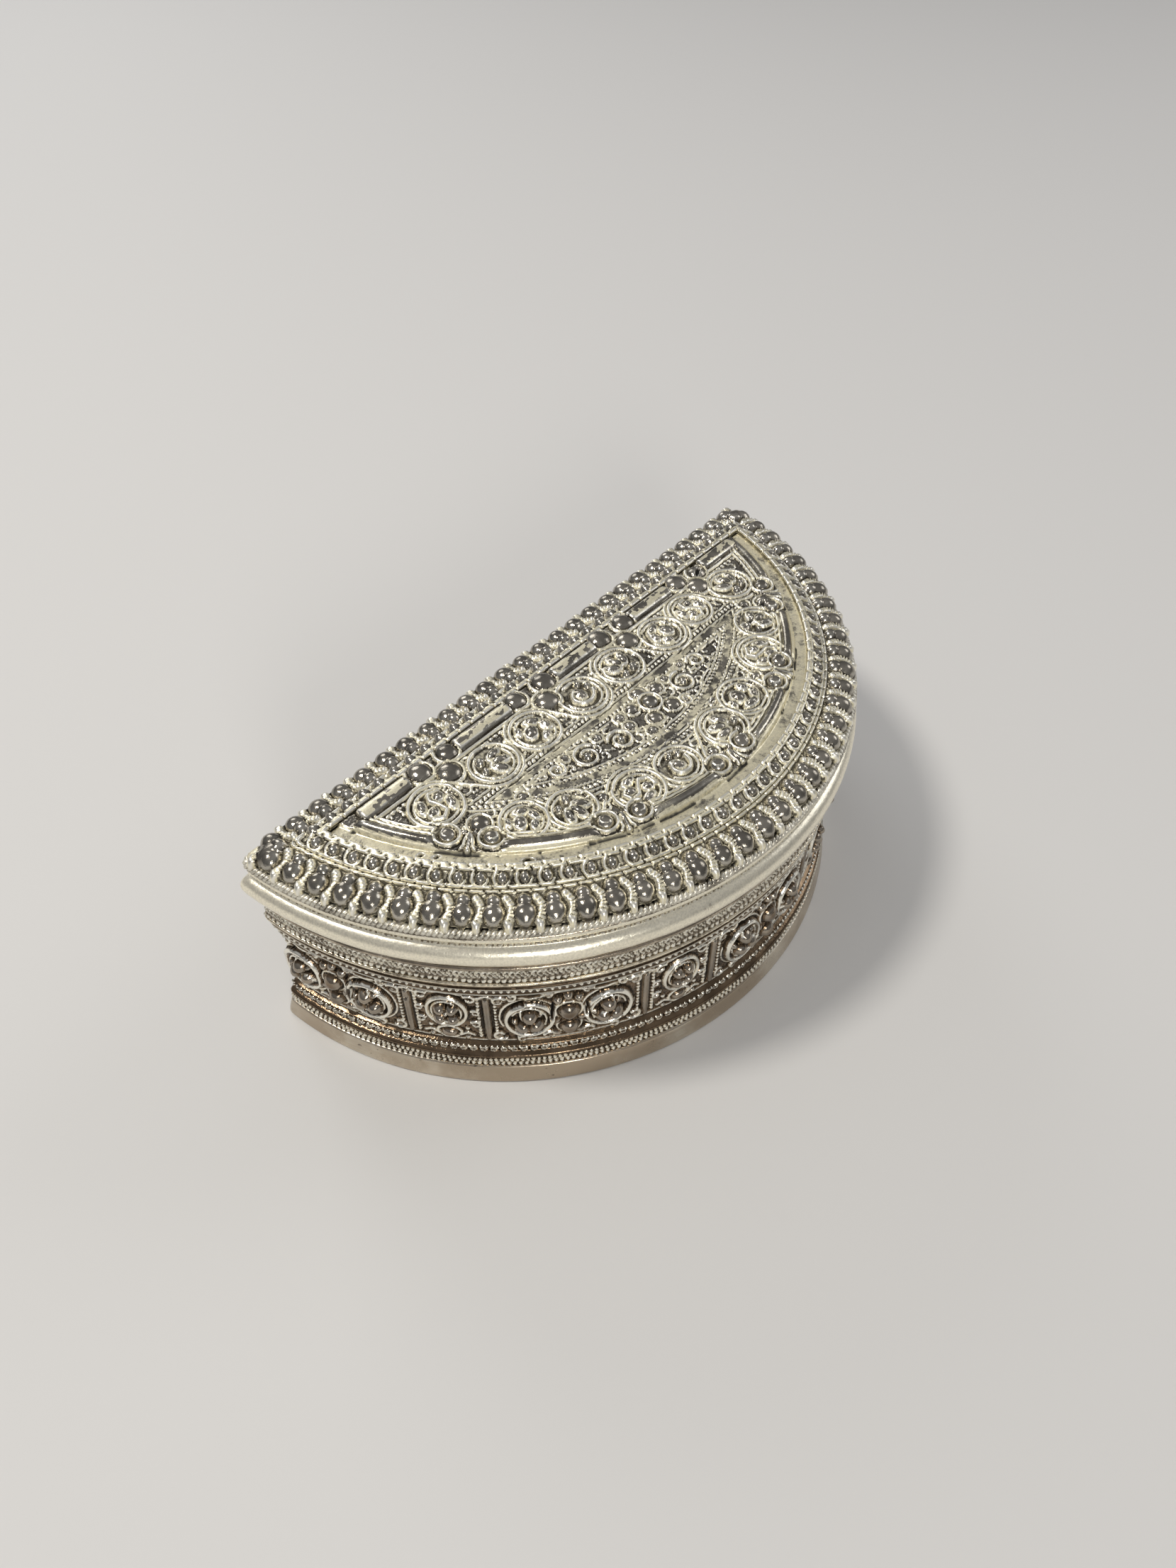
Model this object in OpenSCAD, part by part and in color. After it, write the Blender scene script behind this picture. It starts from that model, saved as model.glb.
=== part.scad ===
// Half-moon betel lime box in chased silver, with a deep lift-off lid.
// The straight side faces +Y, the curved side faces -Y, and the box stands on Z = 0.

/* [Plan] */
// Radius of the curved side, measured at the rope wire
side_r = 62; // [52:1:80]
// How far the straight side lies in front of the centre of the curve
chord_gap = 3.5; // [0:0.5:8]
// Thickness of the silver sheet
sheet_t = 0.8; // [0.6:0.1:1]

/* [Box] */
// Height of the box wall's rim above the table
box_h = 29.2; // [27:0.2:36]
// Height of the plain foot band
foot_h = 4.2; // [3:0.2:6]
// How far the foot flares out past the rope wire
foot_flare = 0.9; // [0.4:0.1:1.3]
// Inset of the foot band's top edge
foot_top_in = -0.3; // [-0.4:0.1:0.2]
// Inset of the foot band's inner face
foot_in = 0.8; // [0.6:0.1:1]
// Gap between the base plate and the table
base_lift = 0.5; // [0.2:0.1:1]
// Thickness of the base plate
base_t = 0.9; // [0.6:0.1:1.5]
// Height of the chased bands between the foot and the panel
lower_bands_h = 5.6; // [4.4:0.2:7.8]
// Height of the chased bands between the panel and the rim
upper_bands_h = 4.8; // [4.4:0.2:6]
// Inset of the panel's ground
panel_in = 1.7; // [1.3:0.1:2]

/* [Collar] */
// Height of the collar above the box wall's rim
collar_rise = 7; // [3:0.5:10]
// Length of the collar that is soldered inside the wall
collar_hold = 3.4; // [2:0.2:4]
// Inset of the collar's outer face
collar_in = 2; // [1.8:0.1:2.4]
// Clearance between the collar and the lid's skirt
lid_fit = 0.1; // [0.05:0.05:0.3]
// Solder seam between the collar and the box wall
seam = 0.1; // [0.05:0.05:0.3]

/* [Lid] */
// Gap between the box wall's rim and the lid's skirt
parting_gap = 0.3; // [0.2:0.1:0.8]
// Height of the lid's skirt
skirt_h = 14.1; // [13.6:0.1:20]
// Radius of the half-round band
band_r = 2.2; // [1.8:0.1:2.3]
// How far the half-round band stands out past the rope wire
band_out = 1.4; // [0.8:0.1:1.6]
// Height of the half-round band's middle above the skirt's lower edge
band_z = 7.7; // [7.6:0.1:8.4]
// Radius of the rope wire
rope_r = 0.9; // [0.6:0.05:1]
// Inset of the rope wire's middle
rope_in = 0.3; // [0:0.1:0.4]
// Inset of the lid plate's edge
plate_in = 0.4; // [0.2:0.1:0.8]
// Thickness of the lid plate's turned edge
plate_edge = 0.6; // [0.4:0.1:1]
// Width of the sloping shoulder that carries the gadroons
knee_in = 5.6; // [5.4:0.1:6]
// Rise of the shoulder over the gadroons
knee_rise = 1.8; // [1:0.1:3]
// Inset of the shoulder's inner edge
shoulder_in = 8.6; // [8.2:0.1:9.2]
// Rise of the shoulder from the gadroons to the field
shoulder_rise = 2.1; // [1:0.1:3]
// Width of the plain channel inside the shoulder
channel_w = 2.2; // [1.8:0.1:2.6]
// Depth of the plain channel
channel_d = 0.5; // [0.3:0.1:0.7]

/* [Lid border] */
// Distance between gadroons
gadroon_pitch = 4.55; // [4:0.05:8]
// Radius of a gadroon's outer bead
gadroon_r = 1.85; // [1.2:0.05:2]
// Inset of the row of outer beads
gadroon_in = 2.3; // [2.2:0.1:2.6]
// Radius of a gadroon's inner bead
inner_bead_r = 1.2; // [0.8:0.05:1.4]
// Inset of the row of inner beads
inner_bead_in = 4.6; // [4.3:0.1:4.8]
// Half the width of the straps between the gadroons
strap_r = 0.5; // [0.3:0.05:0.6]
// Radius of a small scroll bead
scroll_r = 1; // [0.5:0.05:1.1]
// Inset of the row of scroll beads
scroll_in = 7.1; // [6.8:0.1:7.3]
// Distance between scroll beads
scroll_pitch = 3.27; // [2.8:0.05:6]
// Distance between the two ridges of a double line
line_w = 0.5; // [0.4:0.05:0.6]
// Rise of a double line
line_rise = 0.3; // [0.2:0.05:0.4]

/* [Lid field] */
// Width of the slope between the channel and the mouldings
slope_w = 0.8; // [0.4:0.1:1]
// Radius of the half-round mouldings
moulding_r = 0.8; // [0.6:0.1:1.2]
// Radius of the curled ends of the mouldings
curl_r = 1.9; // [1.2:0.1:2.2]
// Inset of the bars along the straight side
bar_in = 10.8; // [10.4:0.1:12]
// Half the width of the bars
bar_r = 1.2; // [0.8:0.1:1.4]
// Radius of the beads in the boss clusters
boss_r = 1.8; // [1:0.1:2]
// Distance between boss clusters along the straight side
boss_pitch = 21; // [18:0.5:24]
// Radius of a roundel's ring
roundel_r = 3.7; // [3:0.1:4.2]
// Inset of the roundels along the straight side
roundel_in = 17.8; // [17:0.1:18.6]
// Inset of the roundels round the curved side
round_in = 17.9; // [17.2:0.1:20.5]
// Half the length of the pointed leaf
leaf_half = 30.6; // [24:0.1:34]
// Depth of the pointed leaf from its straight edge to its curved edge
leaf_depth = 12; // [9:0.5:13]
// Inset of the pointed leaf's straight edge
leaf_in = 23.3; // [22.5:0.1:24]
// Width of the pointed leaf's plain border
leaf_border = 1.1; // [0.8:0.1:2]
// Radius of the ringed bead in the leaf's flower
flower_r = 1.8; // [1:0.1:2.2]
// Width of the holes worn through the lid
hole_w = 0.8; // [0.5:0.1:1.2]

/* [Wall ornament] */
// Distance between bead clusters along the wall
repeat_len = 39.5; // [38:0.5:48]
// Radius of the rosettes' ring
rosette_r = 3.9; // [3:0.1:4.4]
// Distance from a bead cluster to each rosette beside it
rosette_step = 6.6; // [6.4:0.1:8]
// Distance from a bead cluster to each pilaster beside it
pilaster_step = 13.4; // [13:0.1:14]
// Radius of a rosette's beads
bead_r = 1.15; // [0.8:0.05:1.3]
// Half the height of the oval medallions
medallion_h = 3.8; // [3:0.1:4.2]
// Height of the medallions' middle above the panel's middle
medallion_up = 1.5; // [0:0.1:1.8]
// Height of the raised lines round the wall
wall_line_w = 0.7; // [0.4:0.05:0.8]
// How far the raised lines stand out
wall_line_rise = 0.3; // [0.2:0.05:0.4]
// Width of the splits where the wall is worn through
split_w = 0.7; // [0.4:0.1:1]
// Height of the splits
split_h = 5; // [3:0.5:6]
// Distance from a bead cluster to the split beside it
split_step = 2.4; // [2:0.1:3]

/* [Hidden] */
// Fineness of the plain curves, of big and small beads, of rings and of studs
$fn = 64;
BIG_FN = 8;
BEAD_FN = 6;
RING_FN = 10;
STUD_FN = 5;
past = 5;
// How far a raised motif's middle is sunk below the sheet that carries it
sink = 0.2;

// The origin is at the middle of the depth, so the centre of the curve lies behind it
chord_y = (side_r - chord_gap) / 2;
arc_y = chord_y + chord_gap;
half_len = sqrt(pow(side_r, 2) - pow(chord_gap, 2));
half_deg = 90 - asin(chord_gap / side_r);

base_top = base_lift + base_t;
collar_top = box_h + collar_rise;
skirt_z = box_h + parting_gap;
skirt_top = skirt_z + skirt_h;
skirt_in = collar_in - lid_fit;
rope_z = skirt_top - rope_r;
rope_seat = rope_in + rope_r;
edge_z = skirt_top + plate_edge;
knee_z = edge_z + knee_rise;
field_z = knee_z + shoulder_rise;
channel_z = field_z - channel_d;
field_in = shoulder_in + channel_w;
moulding_in = field_in + slope_w + moulding_r;
panel_z0 = foot_h + lower_bands_h;
panel_z1 = box_h - upper_bands_h;
panel_h = panel_z1 - panel_z0;
panel_mid = panel_z0 + panel_h / 2;

// A solid with the half-moon plan. The profile is a list of [inset, height] points going up,
// the same on the curved and the straight side, and closed flat across the top and bottom.
module moon(profile) {
    bottom = profile[0][1];
    top = profile[len(profile) - 1][1];
    intersection() {
        translate([0, arc_y, 0])
            rotate_extrude()
                polygon(concat([[0, bottom]], [for (p = profile) [side_r - p[0], p[1]]], [[0, top]]));
        translate([-side_r - past, 0, 0])
            rotate([90, 0, 90])
                linear_extrude(2 * (side_r + past))
                    polygon(concat([[-side_r, bottom]], [for (p = profile) [chord_y - p[0], p[1]]],
                        [[-side_r, top]]));
    }
}

// A strip bent round the half-moon plan, between an outer and an inner profile
module strip(outer, inner) {
    difference() {
        moon(outer);
        moon(inner);
    }
}

// Places its children at an angle from the middle of the curved side, with their X axis facing out
module on_curve(angle, inset, z) {
    translate([0, arc_y, 0])
        rotate([0, 0, angle - 90])
            translate([side_r - inset, 0, z])
                children();
}

// Places its children at a distance from the middle of the straight side, with X facing out
module on_chord(x, inset, z) {
    translate([x, chord_y - inset, z])
        rotate([0, 0, 90])
            children();
}

// Rows of copies all round the border, evenly spaced between the two corners on each side
module round_border(pitch, inset, z, at = 0) {
    r = side_r - inset;
    arc_deg = 90 - asin((chord_gap + inset) / r);
    arc_count = round(2 * arc_deg * PI / 180 * r / pitch);
    half_chord = r * sin(arc_deg);
    chord_count = round(2 * half_chord / pitch);
    for (i = [1 : arc_count])
        on_curve(-arc_deg + 2 * arc_deg * (i - at) / arc_count, inset, z)
            children();
    for (i = [1 : chord_count])
        on_chord(half_chord - 2 * half_chord * (i - at) / chord_count, inset, z)
            children();
}

// Height of the lid's shoulder at an inset
function shoulder_z(inset) = inset < knee_in
    ? edge_z + knee_rise * (inset - plate_in) / (knee_in - plate_in)
    : knee_z + shoulder_rise * (inset - knee_in) / (shoulder_in - knee_in);

// Points round half of a circle's section, outward or inward, with flats at top and bottom
function half_round(inset, z, r, out, from = -75, to = 75) =
    [for (a = [from : 30 : to]) [inset - out * r * cos(a), z + r * sin(a)]];

// A raised double line on the lid's shoulder, as points of its profile
function double_line(inset) =
    [for (p = [[-1, 0], [-0.5, 1], [0, 0.2], [0.5, 1], [1, 0]])
        [inset + p[0] * line_w, shoulder_z(inset + p[0] * line_w) + p[1] * line_rise]];

// A raised line round the wall, as points of its profile
function wall_line(inset, z) =
    [[inset, z - wall_line_w / 2], [inset - wall_line_rise, z], [inset, z + wall_line_w / 2]];

// A ring with a ridge-shaped section that rises from its sheet, round or oval
module ridge_ring(r, half_w, rise, stretch = 1) {
    scale([stretch, 1, 1])
        rotate_extrude($fn = RING_FN)
            polygon([[r - half_w, -sink], [r + half_w, -sink], [r, rise]]);
}

// A ring with two ridges
module double_ring(r, half_w, rise) {
    rotate_extrude($fn = RING_FN)
        polygon([[r - half_w, -sink], [r + half_w, -sink], [r + 0.5 * half_w, rise], [r, 0.3 * rise],
            [r - 0.5 * half_w, 0.8 * rise]]);
}

// A low swell with sloping sides that lifts an ornament off its sheet
module swell(r, rise, stretch) {
    scale([stretch, 1, 1])
        translate([0, 0, -sink])
            cylinder(r1 = r, r2 = 0.7 * r, h = sink + rise, $fn = RING_FN);
}

// A small raised stud with a flat top
module stud(r) {
    translate([0, 0, -sink])
        cylinder(r1 = r, r2 = 0.5 * r, h = sink + 0.7 * r, $fn = STUD_FN);
}

// A raised bead with a round top, on a foot of the given depth that stays inside its sheet
module dome(r, depth = sink, rise = 0.88, fn = BEAD_FN) {
    rotate_extrude($fn = fn)
        polygon([[0, -depth], [r, -depth], [0.92 * r, 0.45 * rise * r], [0.45 * r, rise * r],
            [0, rise * r]]);
}

// A straight ridge with flat ends, lying along Y, on a foot of the given depth
module bar(half, r, depth = sink, rise = 0.8) {
    rotate([90, 0, 0])
        linear_extrude(2 * half, center = true)
            polygon([[-r, -depth], [r, -depth], [0.85 * r, 0.5 * rise * r], [0.4 * r, rise * r],
                [-0.4 * r, rise * r], [-0.85 * r, 0.5 * rise * r]]);
}

// A straight ridge with round ends, lying along Y, on a foot inside its sheet
module ridge(half, r) {
    hull()
        for (side = [-1, 1])
            translate([0, side * half, 0])
                dome(r);
}

module foot_rim() {
    color("lightgray")
        strip(
            [[-foot_flare, 0], [foot_top_in, foot_h]],
            [[foot_in, -past], [foot_in, foot_h + past]]);
}

module base_plate() {
    color("gray")
        moon([[foot_in, base_lift], [foot_in, base_top]]);
}

module neck_collar() {
    color("silver")
        strip(
            [[collar_in, box_h - collar_hold], [collar_in, collar_top]],
            [[collar_in + sheet_t, 0], [collar_in + sheet_t, collar_top + past]]);
}

// The chased strip of the box wall, bent in at the foot, at the panel and at the rim
module wall_sheet() {
    hold_in = collar_in - seam;
    inner_in = panel_in + sheet_t;
    strip(
        [
            [foot_in, base_top],
            [foot_in, foot_h],
            [0.2, foot_h],
            each wall_line(0.2, foot_h + 0.8),
            each wall_line(0.2, foot_h + 1.9),
            [0.2, foot_h + 2.6],
            [0.5, foot_h + 3],
            [1.1, foot_h + 3.4],
            [1.1, panel_z0 - 0.9],
            [0.5, panel_z0 - 0.55],
            [panel_in, panel_z0],
            each wall_line(panel_in, panel_z0 + 0.55),
            each wall_line(panel_in, panel_z1 - 0.75),
            [panel_in, panel_z1],
            [1.2, panel_z1 + 0.5],
            each wall_line(1.05, box_h - 2.9),
            [0.9, box_h - 2],
            [0.6, box_h - 1.2],
            [0.1, box_h - 0.6],
            [0.1, box_h]
        ],
        [
            [inner_in, 0],
            [inner_in, box_h - collar_hold - 0.6],
            [hold_in, box_h - collar_hold],
            [hold_in, box_h + past]
        ]);
}

// A rosette on the wall: a swell with a ring round three beads
module rosette() {
    tall = 1.2;
    rotate([0, 90, 0]) {
        swell(1.2 * rosette_r, 0.15 * rosette_r, tall);
        ridge_ring(rosette_r, 0.22 * rosette_r, 0.33 * rosette_r, tall);
        for (turn = [60, 180, 300])
            rotate([0, 0, turn])
                translate([0.36 * rosette_r, 0, 0.15 * rosette_r])
                    dome(bead_r);
    }
}

// An oval medallion on the wall with four studs in it, and a swag's bead under it
module medallion() {
    oval_r = 0.8 * medallion_h;
    rotate([0, 90, 0])
        translate([-medallion_up, 0, 0]) {
            swell(1.15 * oval_r, 0.1 * oval_r, 1.25);
            ridge_ring(oval_r, 0.25 * oval_r, 0.3 * oval_r, 1.25);
            for (x = [-0.4, 0.4], y = [-0.3, 0.3])
                translate([x * oval_r, y * oval_r, 0.1 * oval_r])
                    stud(0.85 * bead_r);
        }
    translate([0, 0, -panel_h / 2 + 2 * bead_r])
        rotate([0, 90, 0])
            ridge(bead_r, bead_r);
}

// A pair of beads, one above the other, between two rosettes, with a stud at each corner
module bead_cluster() {
    for (z = [-0.19, 0.13])
        translate([0, 0, z * panel_h])
            rotate([0, 90, 0])
                dome(1.6 * bead_r);
    for (side = [-1, 1], z = [-0.34, 0.32])
        translate([0, side * 1.6 * bead_r, z * panel_h])
            rotate([0, 90, 0])
                stud(0.8 * bead_r);
}

// A half-round pilaster with a thin fillet on each side
module pilaster() {
    pilaster_h = panel_h - 2 * wall_line_w;
    rotate([90, 0, 90])
        ridge(pilaster_h / 2 - 0.7, 0.7);
    for (side = [-1, 1])
        translate([0, side * 1.4, 0])
            rotate([90, 0, 90])
                bar(pilaster_h / 2 - 0.5, 0.35, sink, 1.2);
}

// Everything raised on the wall's panel, repeated from the middle of each side
module wall_ornament() {
    r = side_r - panel_in;
    deg = 180 / PI / r;
    half_curve = half_deg / deg;
    curve_last = floor((half_curve - rosette_step - rosette_r) / repeat_len);
    chord_last = floor((half_len - rosette_step - rosette_r) / repeat_len);
    for (k = [-curve_last : curve_last])
        on_curve(k * repeat_len * deg, panel_in + sink, panel_mid)
            bead_cluster();
    for (k = [-chord_last : chord_last])
        on_chord(k * repeat_len, panel_in + sink, panel_mid)
            bead_cluster();
    for (k = [-curve_last : curve_last], side = [-1, 1])
        on_curve((k * repeat_len + side * rosette_step) * deg, panel_in + sink, panel_mid)
            rosette();
    for (k = [-chord_last : chord_last], side = [-1, 1])
        on_chord(k * repeat_len + side * rosette_step, panel_in + sink, panel_mid)
            rosette();
    for (k = [-curve_last : curve_last], side = [-1, 1])
        if (abs(k * repeat_len + side * pilaster_step) < half_curve - 2)
            on_curve((k * repeat_len + side * pilaster_step) * deg, panel_in + sink, panel_mid)
                pilaster();
    for (k = [-chord_last : chord_last], side = [-1, 1])
        if (abs(k * repeat_len + side * pilaster_step) < half_len - 2)
            on_chord(k * repeat_len + side * pilaster_step, panel_in + sink, panel_mid)
                pilaster();
    for (k = [-curve_last + 0.5 : curve_last - 0.5])
        on_curve(k * repeat_len * deg, panel_in + sink, panel_mid)
            medallion();
    for (k = [-chord_last + 0.5 : chord_last - 0.5])
        on_chord(k * repeat_len, panel_in + sink, panel_mid)
            medallion();
}

// Upright splits where the silver is worn through beside the bead clusters
module wall_splits() {
    deg = 180 / PI / (side_r - panel_in);
    for (s = [-2 * repeat_len + split_step, -repeat_len - split_step, -repeat_len + 1.25 * split_step])
        on_curve(s * deg, panel_in, panel_mid + 0.1 * panel_h)
            cube([2 * past, split_w, split_h], center = true);
}

module box_wall() {
    color("silver")
        difference() {
            union() {
                wall_sheet();
                wall_ornament();
            }
            wall_splits();
        }
}

// The lid's side: a chased band, a cove, a plain half-round band and a ledge for the rope
module lid_skirt() {
    mid_in = band_r - band_out;
    color("silver")
        strip(
            concat(
                [
                    [0.3, skirt_z],
                    [0.3, skirt_z + 0.9],
                    [0.6, skirt_z + 1.2],
                    [0.6, skirt_z + 3.2],
                    [0.1, skirt_z + 3.5],
                    [0.1, skirt_z + 4],
                    [0.9, skirt_z + 4.4],
                    [0.9, skirt_z + band_z - band_r - 0.2]
                ],
                half_round(mid_in, skirt_z + band_z, band_r, 1),
                [
                    [0.3, skirt_z + band_z + band_r + 0.2],
                    [0, skirt_top - 2 * rope_r],
                    [rope_seat, skirt_top - 2 * rope_r],
                    [rope_seat, skirt_top]
                ]),
            [[skirt_in, 0], [skirt_in, skirt_top + past]]);
}

module rope_wire() {
    outer = half_round(rope_in, rope_z, rope_r, 1);
    inner = half_round(rope_in, rope_z, rope_r, -1);
    bottom_in = inner[0][0];
    color("lightgray")
        strip(
            outer,
            concat([[bottom_in, 0]], inner, [[bottom_in, rope_z + past]]));
}

// The lid's plate: a turned edge, a sloping shoulder, a plain channel and the raised field
module lid_plate() {
    strip(
        [
            [plate_in, skirt_top],
            [plate_in, edge_z],
            each double_line(knee_in + 0.1),
            each double_line(shoulder_in - line_w - 0.1),
            [shoulder_in, field_z],
            [shoulder_in + 0.3, channel_z],
            [field_in, channel_z],
            [field_in + 0.3, field_z]
        ],
        [
            [skirt_in, 0],
            [skirt_in, shoulder_z(skirt_in) - sheet_t],
            [knee_in, knee_z - sheet_t],
            [shoulder_in - channel_d, channel_z - sheet_t],
            [field_in + sheet_t, channel_z - sheet_t],
            [field_in + sheet_t, field_z - sheet_t]
        ]);
}

// Gadroons round the edge: a big bead with a small one in line behind it, and straps between them
module gadroons() {
    bead_z = shoulder_z(gadroon_in) - sink;
    strap_in = (gadroon_in + inner_bead_in) / 2;
    strap_len = 0.7 * (knee_in - plate_in);
    slope = atan(knee_rise / (knee_in - plate_in));
    round_border(gadroon_pitch, gadroon_in, bead_z, 0.5) {
        dome(gadroon_r, bead_z - skirt_top - sink);
        translate([gadroon_in - inner_bead_in, 0, shoulder_z(inner_bead_in) - bead_z])
            stud(inner_bead_r);
    }
    round_border(gadroon_pitch, gadroon_in, shoulder_z(strap_in))
        translate([gadroon_in - strap_in, 0, 0])
            rotate([0, 90 + slope, 0])
                cylinder(r = strap_r, h = strap_len, center = true, $fn = 4);
}

module scroll_beads() {
    round_border(scroll_pitch, scroll_in, shoulder_z(scroll_in) + sink, 0.5)
        stud(scroll_r);
}

// Plain bars along the straight side, and a cluster of three bosses between each two
module bars_and_bosses() {
    bar_half = boss_pitch / 2 - 2.6 * boss_r;
    for (k = [-1 : 1])
        on_chord(k * boss_pitch, bar_in, field_z)
            bar(bar_half, bar_r, channel_d + sink);
    for (side = [-1, 1])
        on_chord(side * 1.96 * boss_pitch, bar_in, field_z)
            bar(0.75 * bar_half, bar_r, channel_d + sink);
    for (k = [-1.5 : 1.5])
        on_chord(k * boss_pitch, bar_in, field_z) {
            for (side = [-1, 1])
                translate([0, side * 1.75 * boss_r, 0])
                    dome(boss_r, channel_d + sink, 0.81, BIG_FN);
            translate([-2.1 * boss_r, 0, 0])
                dome(boss_r, sink, 0.81, BIG_FN);
        }
}

// Section of a moulding in shares of its roll's radius: a slope, the roll and two ridges inside it
module moulding_section() {
    polygon(concat(
        [[moulding_r + slope_w, -sink]],
        moulding_r * [[0.8, 0.3], [0.5, 0.87], [-0.5, 0.87], [-1, 0.2], [-1.5, 0.7], [-1.9, 0.25],
            [-2.3, 0.6], [-2.7, 0]],
        [[-2.7 * moulding_r, -sink]]));
}

// Mouldings round the curved side, with a bead at each curled end and leaves between them
module mouldings() {
    for (middle = [-65.2, -38, -11.4, 15.5, 40.3, 66])
        translate([0, arc_y, field_z])
            rotate([0, 0, middle - 90 - 8])
                rotate_extrude(angle = 16, $fn = 32)
                    translate([side_r - moulding_in, 0])
                        moulding_section();
    for (end = [-56.2, -48.2, -27.6, -20.8, -1.8, 6.2, 25, 31.2, 49.4, 56.6])
        on_curve(end, moulding_in, field_z)
            dome(curl_r, sink, 0.58, BIG_FN);
    for (gap = [-52.2, -24.2, 2.2, 28.1, 53])
        on_curve(gap, moulding_in + 0.4, field_z)
            rotate([0, 0, 90])
                bar(0.8 * curl_r, 0.35 * curl_r);
    for (side = [-1, 1])
        on_curve(51 * side, moulding_in + 3.4, field_z)
            dome(0.9 * boss_r, sink, 0.7);
}

// A leafy scroll: a double ring with three studs in it
module roundel(spin) {
    double_ring(roundel_r, 0.14 * roundel_r, 0.2 * roundel_r);
    for (turn = [0, 120, 240])
        rotate([0, 0, spin + turn])
            translate([roundel_r / 2, 0, 0])
                stud(0.28 * roundel_r);
}

module roundels() {
    for (k = [-1.5 : 1.5], side = [-1, 1])
        on_chord(k * boss_pitch + side * boss_pitch / 4, roundel_in, field_z)
            roundel(90 + 40 * side);
    for (angle = [-43, -31.9, -18.6, -7.4, 7.4, 18.6, 32.9, 44])
        on_curve(angle, round_in, field_z)
            roundel(angle);
}

// The pointed leaf: a plain border between a straight edge and a curved edge, round a flower
module leaf_outline(border) {
    half = leaf_half - 2.5 * border;
    depth = leaf_depth - 2 * border;
    r = (pow(half, 2) + pow(depth, 2)) / (2 * depth);
    translate([0, chord_y - leaf_in - border])
        intersection() {
            translate([0, r - depth])
                circle(r = r);
            translate([-leaf_half, -2 * leaf_half])
                square([2 * leaf_half, 2 * leaf_half]);
        }
}

module leaf_band(outer, inner) {
    translate([0, 0, field_z - 0.3])
        linear_extrude(0.6)
            difference() {
                leaf_outline(outer);
                leaf_outline(inner);
            }
}

module leaf() {
    leaf_band(0, leaf_border);
    leaf_band(1.4 * leaf_border, 1.8 * leaf_border);
    on_chord(0.08 * leaf_half, leaf_in + 0.35 * leaf_depth, field_z) {
        ridge_ring(1.2 * flower_r, 0.25 * flower_r, 0.4 * flower_r);
        dome(flower_r, sink, 0.7, BIG_FN);
        for (turn = [72 : 72 : 288])
            rotate([0, 0, turn])
                translate([1.75 * flower_r, 0, 0])
                    stud(0.65 * flower_r);
    }
    for (curl = [[-0.45, 0.39], [-0.24, 0.51], [0.33, 0.42]])
        on_chord(curl[0] * leaf_half, leaf_in + curl[1] * leaf_depth, field_z)
            ridge_ring(0.17 * leaf_depth, 0.05 * leaf_depth, 0.05 * leaf_depth);
}

// Holes worn through the lid, each [x as a share of half the lid's length,
// distance in from the straight side as a share of its depth, length over width, turn]
module lid_holes() {
    depth = side_r - chord_gap;
    for (h = [[-0.554, 0.055, 1.1, 0], [0.594, 0.157, 1.8, 0], [0.569, 0.198, 2.5, 30],
            [0.485, 0.462, 2.4, -25], [0.103, 0.274, 1.3, 60], [-0.087, 0.672, 1.4, 0]])
        translate([h[0] * half_len, chord_y - h[1] * depth, skirt_top])
            rotate([0, 0, h[3]])
                scale([h[2], 1, 1])
                    cylinder(d = hole_w, h = 2 * past, $fn = BIG_FN);
}

module lid_top() {
    color("silver")
        difference() {
            union() {
                lid_plate();
                gadroons();
                scroll_beads();
                bars_and_bosses();
                mouldings();
                roundels();
                leaf();
            }
            lid_holes();
        }
}

box_wall();
base_plate();
foot_rim();
neck_collar();
lid_skirt();
lid_top();
rope_wire();
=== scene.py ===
"""A half-moon betel lime box in chased silver: the looks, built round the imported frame."""
import math
from functools import reduce
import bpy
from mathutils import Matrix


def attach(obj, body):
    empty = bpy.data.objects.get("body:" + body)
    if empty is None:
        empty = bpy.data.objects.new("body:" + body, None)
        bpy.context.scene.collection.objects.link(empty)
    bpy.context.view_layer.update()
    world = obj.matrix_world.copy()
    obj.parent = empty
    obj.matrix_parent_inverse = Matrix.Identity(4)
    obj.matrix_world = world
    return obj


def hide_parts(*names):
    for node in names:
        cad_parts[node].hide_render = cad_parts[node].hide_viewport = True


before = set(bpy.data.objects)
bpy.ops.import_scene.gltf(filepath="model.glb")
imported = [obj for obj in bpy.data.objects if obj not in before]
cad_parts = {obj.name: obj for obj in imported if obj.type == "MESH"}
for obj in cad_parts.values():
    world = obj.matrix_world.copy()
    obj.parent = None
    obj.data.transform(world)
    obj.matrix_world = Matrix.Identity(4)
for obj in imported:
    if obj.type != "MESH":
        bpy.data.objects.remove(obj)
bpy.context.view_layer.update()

from types import SimpleNamespace

import bpy
import numpy as np
from mathutils import Vector

# Lengths are in millimetres until a mesh is made. The floor, the lamps and the camera are in metres.
MM = 0.001
TAU = 2 * math.pi
rng = np.random.default_rng(11)

# The plan: an arc of radius R whose centre lies GAP behind the straight side
R, GAP = 62.0, 3.5
CHORD_Y = (R - GAP) / 2
ARC_Y = CHORD_Y + GAP
# Distances in from the plan's edge
GADROON_IN, SCROLL_IN, FIELD_IN, MOULD_IN, PANEL_IN = 2.35, 7.1, 8.9, 12.3, 1.7
FIELD_Z = 48.1
# How many gadroons stand on the curve and on the straight side
GADROONS = 39, 26
# The height of the wall panel's middle, and the length of its repeating pattern
PANEL_MID, REPEAT = 17.1, 39.5
UPRIGHT = math.pi / 2
# Tones of polished silver with a painted dark reflection, and of pale film
DARK_REFLECTION, PALE = 0.08, 0.95
# The blur that rounds the plan's corners: the loop's rough length, the cells blurred each way, their fade
LOOP, CORNER_CELLS, CORNER_FADE = math.pi * 60 + 120, 40, 4.0


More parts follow.
